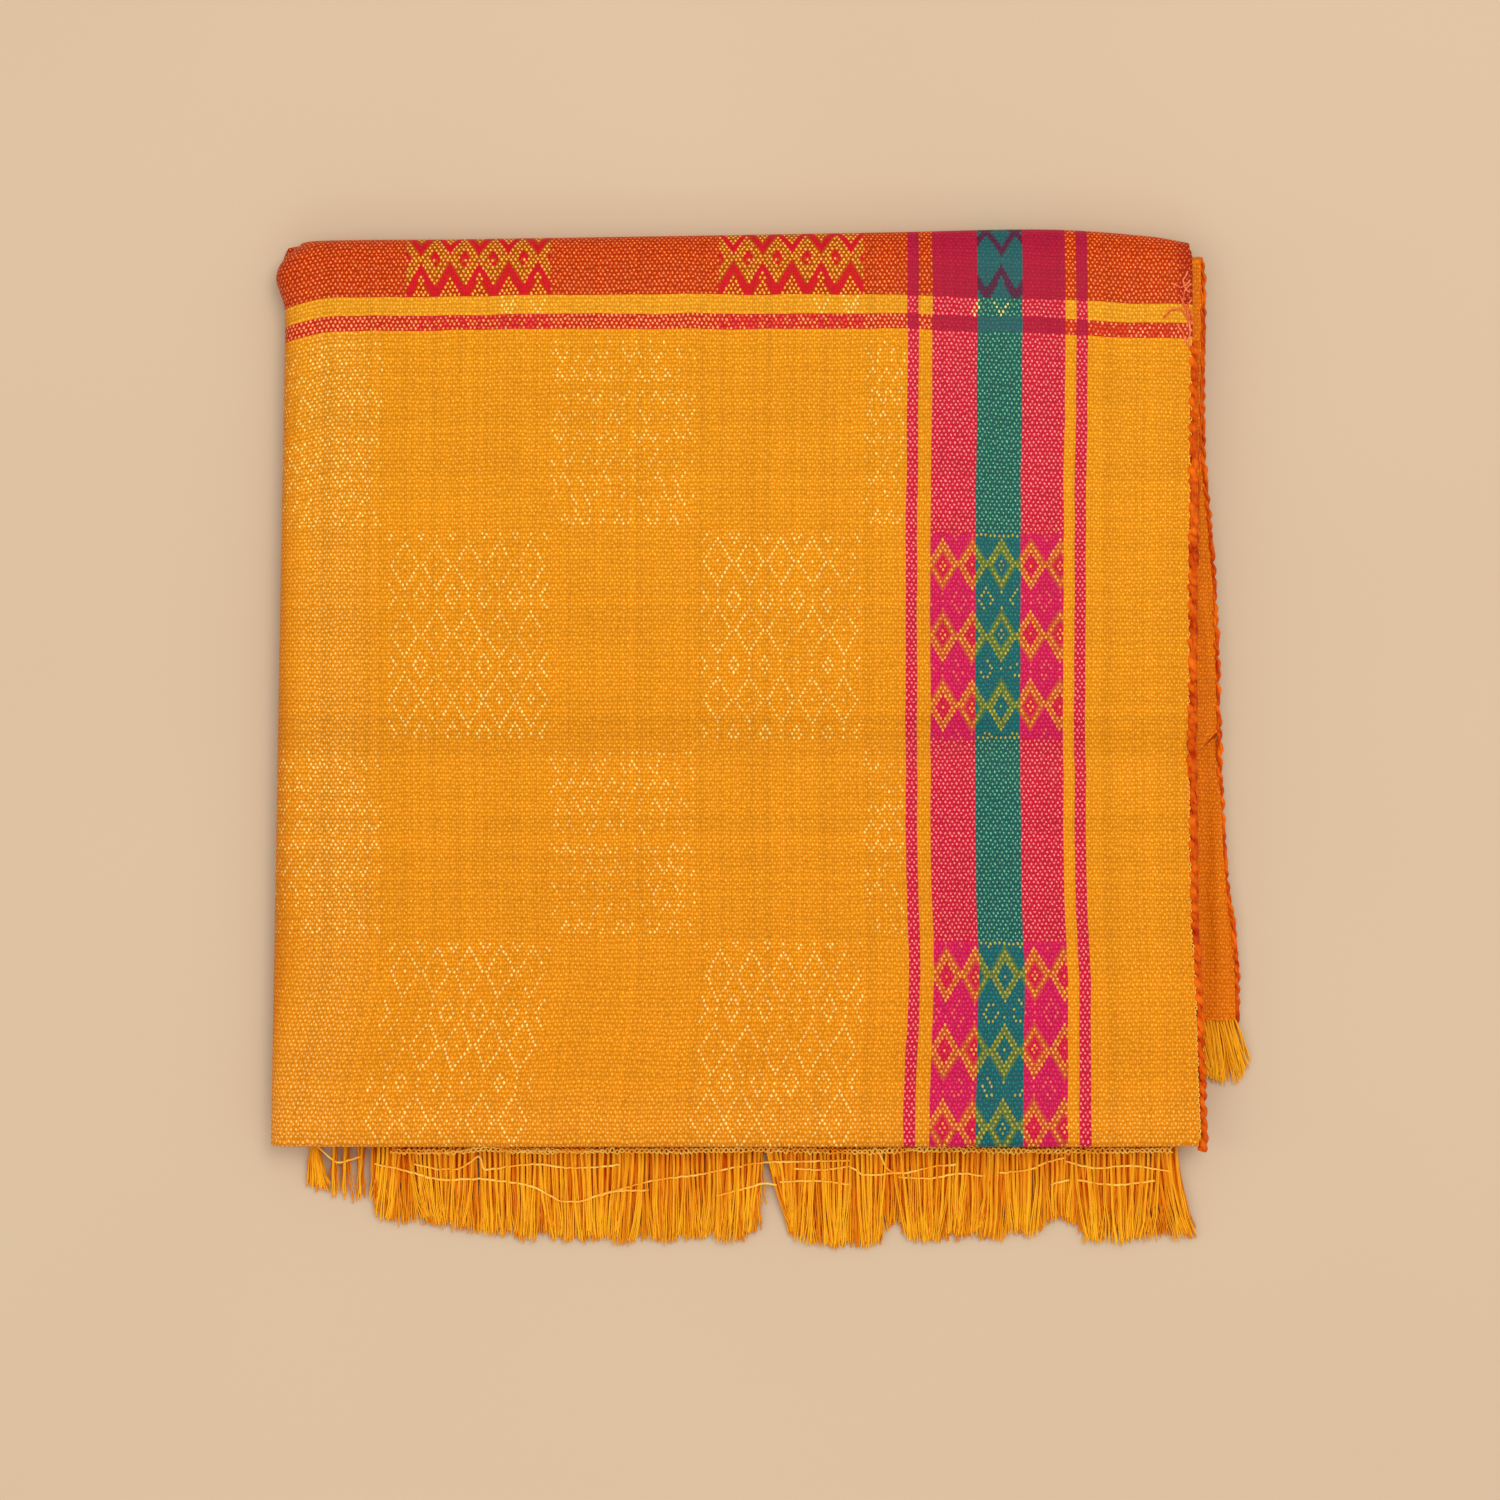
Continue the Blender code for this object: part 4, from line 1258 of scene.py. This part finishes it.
# %% The thin selvedges of the inner stretches
def edge_path(stretch, side, start, end):
    part = [p["name"] for p in RUN].index(stretch)
    low = STARTS[part]
    flip = RUN[part]["to"][0] < RUN[part]["from"][0]
    points = []
    for y in stations(start, end, 3.0):
        s = low + ((RUN[part]["from"][0] - y) if flip else (y - RUN[part]["from"][0]))
        p = cloth_point(s, side, 0.0)
        points.append(Vector((p.x + 0.25, p.y, max(p.z + 0.1, 1.15))))
    return points


inner_edges = [edge_path("second", -1, -140.0, 174.0), edge_path("second", 1, -140.0, 174.0),
               edge_path("third", 1, 128.0, 178.0), edge_path("third", -1, -140.0, 178.0),
               edge_path("fourth", -1, 6.0, 174.0), edge_path("fourth", 1, -140.0, 3.0),
               edge_path("last", -1, -105.0, 174.0), edge_path("under", 1, -146.0, 172.0),
               edge_path("under", -1, -146.0, 172.0)]
inner_selvedges = edge_plies.run(path_piece("inner_selvedges", inner_edges), Ply_radius=0.48 * MM, Throw=0.24 * MM,
                                 Turns_per_metre=110.0, Lumps=1.1, Plies=1, Step=1.5 * MM)

# %% [markdown]
# The loose picks are drawn as they lie, each by a few places, and go over and under the warp
# ends by a sine. Two more of them cross each other all along the edge of the cloth, the heading.

# %% Picks that wander through the fringe
PICKS = (
    ((-171.6, -154.5), (-163.6, -161.3), (-159.0, -160.6), (-154.5, -159.0)),
    ((-142.5, -157.5), (-124.0, -157.6), (-116.0, -156.8), (-105.5, -155.4), (-96.0, -156.8), (-60.0, -156.9)),
    ((-149.0, -162.0), (-140.8, -163.6), (-133.0, -165.8), (-122.6, -168.1), (-109.7, -167.7), (-99.8, -168.5),
     (-88.4, -170.7), (-77.0, -176.4), (-70.9, -176.4), (-58.0, -172.5), (-44.0, -172.0)),
    ((-133.8, -162.0), (-124.7, -163.9), (-117.8, -163.9), (-113.3, -162.0), (-108.7, -159.0), (-107.2, -164.3),
     (-103.4, -163.9), (-88.2, -162.0), (-72.0, -163.5), (-55.0, -162.2)),
    ((12.0, -163.6), (22.0, -164.4), (32.9, -163.0), (38.9, -166.2), (53.0, -165.2)),
    ((44.3, -156.8), (47.3, -163.6), (53.4, -165.5), (64.0, -163.2), (75.0, -161.8)),
    ((51.9, -167.0), (63.3, -167.5), (74.7, -165.5), (85.3, -166.6)),
    ((90.6, -165.5), (102.0, -164.0), (108.9, -161.3), (115.7, -159.4)),
    ((110.4, -170.0), (113.0, -169.0), (117.2, -168.2)),
    ((6.3, -168.8), (20.0, -168.4), (32.9, -169.7)),
    ((-64.0, -174.4), (-43.0, -168.5), (-24.0, -165.9), (-9.0, -162.8), (1.0, -161.3), (14.0, -161.0),
     (33.0, -160.6)),
    ((-18.0, -174.2), (-8.0, -171.6), (1.0, -169.3), (5.0, -170.0)),
    ((116.0, -161.0), (128.0, -163.6), (140.0, -162.6), (156.0, -164.8)),
    ((120.0, -168.0), (134.0, -170.0), (150.0, -168.4)),
)


def pick_path(corners, seed, cross=0.0):
    table = sorted(corners)
    points = []
    for x in stations(table[0][0], table[-1][0], 0.8):
        y = along(table, x) + 0.35 * noise.noise(Vector((x * 0.4, seed * 2.1, 0.0)))
        y += cross * math.sin(math.pi * x / 1.9) * (0.9 + 1.2 * noise.noise(Vector((x * 0.15, seed, 6.0))))
        weave_in = math.sin(math.pi * x / 1.78 + seed)
        points.append(Vector((x, y, 4.25 + 0.5 * weave_in + 0.3 * noise.noise(Vector((x * 0.2, seed, 3.0))))))
    return points

HEADING = ((-143.0, -157.0), (-118.0, -157.2), (-106.0, -156.0), (-90.0, -156.9), (-30.0, -156.8), (0.0, -156.4),
           (40.0, -157.2), (60.0, -156.3), (110.0, -157.0), (157.0, -156.6))
pick_paths = [pick_path(c, k) for k, c in enumerate(PICKS)]
pick_paths += [pick_path(HEADING, 40, 1.15), pick_path(HEADING, 41, -1.15)]
loose_picks = pick_plies.run(path_piece("loose_picks", pick_paths),
                             Ply_radius=0.40 * MM, Throw=0.0, Turns_per_metre=0.0, Lumps=0.9, Plies=1,
                             Step=0.8 * MM)

# %% [markdown]
# At the right end of the red band some threads of the weft have come loose and lie on the cloth.

# %% Frayed ends of the red band
FRAYS = (
    ((161.6, 179.0), (159.6, 175.6), (160.6, 172.0), (162.8, 170.4)),
    ((162.6, 174.0), (160.2, 171.6), (159.4, 167.4), (161.0, 164.4), (163.2, 163.6)),
    ((158.6, 169.6), (160.0, 165.6), (162.4, 163.0), (163.4, 158.6)),
    ((152.4, 161.2), (155.0, 164.2), (158.8, 164.6), (161.6, 161.0), (162.4, 155.6), (161.2, 152.0)),
    ((157.2, 158.8), (159.4, 155.4), (160.6, 151.8), (162.6, 149.4)),
    ((162.8, 168.0), (161.0, 165.0), (161.6, 161.0), (163.4, 158.0)),
    ((155.8, 174.2), (158.6, 172.6), (161.0, 173.8), (163.0, 176.2)),
)


def fray_path(corners, seed):
    """A loose thread that lies on the top of the packet."""
    points = []
    for a, b in zip(corners, corners[1:]):
        for k in range(4):
            x, y = a[0] + (b[0] - a[0]) * k / 4.0, a[1] + (b[1] - a[1]) * k / 4.0
            x += 0.3 * noise.noise(Vector((y * 0.5, seed, 0.0)))
            points.append(Vector((x, y, 17.25 + 0.98 * swell(x, y) + 0.25 * noise.noise(Vector((x, y, seed))))))
    return points


fray_yarn = loose_yarn("fray_yarn", dye(206, 30, 24), dye(255, 150, 96), 0.5)
frayed_ends = ply_tree(fray_yarn).run(path_piece("frayed_ends", [fray_path(c, k) for k, c in enumerate(FRAYS)]),
                                      Ply_radius=0.34 * MM, Throw=0.0, Turns_per_metre=0.0, Lumps=0.7, Plies=1,
                                      Step=0.7 * MM)

# %% [markdown]
# At every turn of the weft a tiny loop stands out of the selvedge. Along the top face they catch
# the light as a row of pale beads. One loop is a short arc, and the tree sets one at each step
# along the edge.

# %% Weft loops along the top edge
def loop_tree(recipe):
    grow = Grower("weft_turns")
    spacing = grow.size("Spacing")
    reach = grow.size("Reach")
    radius = grow.size("Yarn radius")
    seed = grow.size("Seed", "Int")
    path = grow.node("GeometryNodeMeshToCurve", {}, grow.geometry())
    spots = grow.node("GeometryNodeResampleCurve", {"mode": "LENGTH"}, path, Length=spacing)
    arc_curve = grow.node("GeometryNodeCurveArc", {"mode": "RADIUS"}, 7, Radius=1.0, Start_Angle=-1.5708,
                          Sweep_Angle=3.1416)
    lengths = grow.node("FunctionNodeRandomValue", {"data_type": "FLOAT"}, out=1)
    sockets = lengths.socket.node.inputs
    for place, value in ((2, 0.35), (3, 1.25), (8, seed)):
        grow.feed(sockets[place], value)
    size = grow.join(reach * lengths, spacing * 0.42, spacing * 0.3)
    loops = grow.node("GeometryNodeInstanceOnPoints", {}, spots, Instance=arc_curve, Scale=size)
    loops = grow.node("GeometryNodeRealizeInstances", {}, loops)
    grow.finish(grow.toned(grow.swept(loops, 4, radius), 0.55), recipe)
    return grow


top_edge = []
for y in stations(-150.0, 152.0, 1.0):
    top_edge.append(cloth_point(STARTS[2] + BACK_Y - y, 1, 0.0) + Vector((-0.25, 0.0, 0.05)))
weft_loops = loop_tree(pick_yarn).run(path_piece("weft_loops", [top_edge]), Spacing=1.95 * MM, Reach=0.75 * MM,
                                      Yarn_radius=0.26 * MM, Seed=5)

# %% [markdown]
# ## Floor, light and camera
#
# The table is plain and pale, with hardly any shine.

# %% Floor
bpy.ops.mesh.primitive_plane_add(size=6.0)
floor = bpy.context.object
floor.name = "floor"
floor_paint = Recipe("floor_paint", Roughness=0.7, Specular_IOR_Level=0.2)
spot_x, spot_y, _ = floor_paint.split(floor_paint.node("ShaderNodeTexCoord", {}, out=3))
cloud = floor_paint.noise(spot_x, spot_y, 3.0)
floor_paint.give(Base_Color=floor_paint.over(cloud, dye(206, 179, 148), dye(212, 187, 157)))
floor_paint.wear(floor)

# %% [markdown]
# One wide soft light stands high, a little to the right and behind. A weak long light at the
# left draws the shine along the rolled fold, another one lifts the front, and a pale world fills
# the shadows, which are soft and lie all round the packet.

# %% Light
def soft_light(name, place, size, power, colour=(1.0, 1.0, 1.0)):
    lamp = bpy.data.lights.new(name, "AREA")
    lamp.shape = "RECTANGLE"
    lamp.size, lamp.size_y = size
    lamp.energy = power
    lamp.color = colour
    made = bpy.data.objects.new(name, lamp)
    made.location = place
    made.rotation_euler = (Vector((0.0, 0.0, 0.0)) - Vector(place)).to_track_quat("-Z", "Y").to_euler()
    bpy.context.scene.collection.objects.link(made)
    return made


soft_light("window", (0.46, 0.56, 1.7), (1.0, 1.0), 12.5, (1.0, 0.99, 0.975))
soft_light("left_strip", (-1.3, -0.1, 0.95), (0.3, 1.6), 3.2)
soft_light("front_strip", (-0.1, -1.3, 0.95), (1.6, 0.3), 2.5)
world = bpy.data.worlds.new("room")
world.use_nodes = True
world.node_tree.nodes["Background"].inputs[0].default_value = (1.0, 0.99, 0.98, 1.0)
world.node_tree.nodes["Background"].inputs[1].default_value = 0.73
bpy.context.scene.world = world
bpy.context.scene.view_settings.view_transform = "Standard"

# %% [markdown]
# The camera looks straight down with a long lens, so the sides of the packet hardly show.

# %% Camera
lens = bpy.data.cameras.new("camera")
lens.lens = 85.0
lens.sensor_width = 36.0
camera = bpy.data.objects.new("camera", lens)
FRAME_WIDTH = 0.57
camera.location = (-0.0051, -0.0032, 0.0165 + FRAME_WIDTH * lens.lens / lens.sensor_width)
bpy.context.scene.collection.objects.link(camera)
bpy.context.scene.camera = camera
print("camera is %.2f m above the cloth" % (camera.location.z - 0.0165))

# %% [markdown]
# ## Attaching the pieces
#
# Every piece is attached to the body it rides on. The table gives its material slot and the
# solids of the frame that it stands for, and those solids are hidden.

# %% Who rides where
for piece, slot, nodes in (
    (pallu_cloth, "pallu_cloth", ("pallu_panel",)),
    (top_cloth, "body_cloth", ("top_panel",)),
    (inner_cloth, "body_cloth", ("folded_core", "middle_panel", "end_panel")),
    (selvedge_top, "selvedge_thread", ("selvedge_top",)),
    (selvedge_end, "selvedge_thread", ("selvedge_end",)),
    (pallu_fringe, "fringe_thread", ("pallu_fringe",)),
    (end_fringe, "fringe_thread", ("end_fringe",)),
    (inner_selvedges, "selvedge_thread", ()),
    (loose_picks, "fringe_thread", ()),
    (weft_loops, "selvedge_thread", ()),
    (frayed_ends, "selvedge_thread", ()),
):
    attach(piece, "root")
    if nodes:
        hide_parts(*nodes)
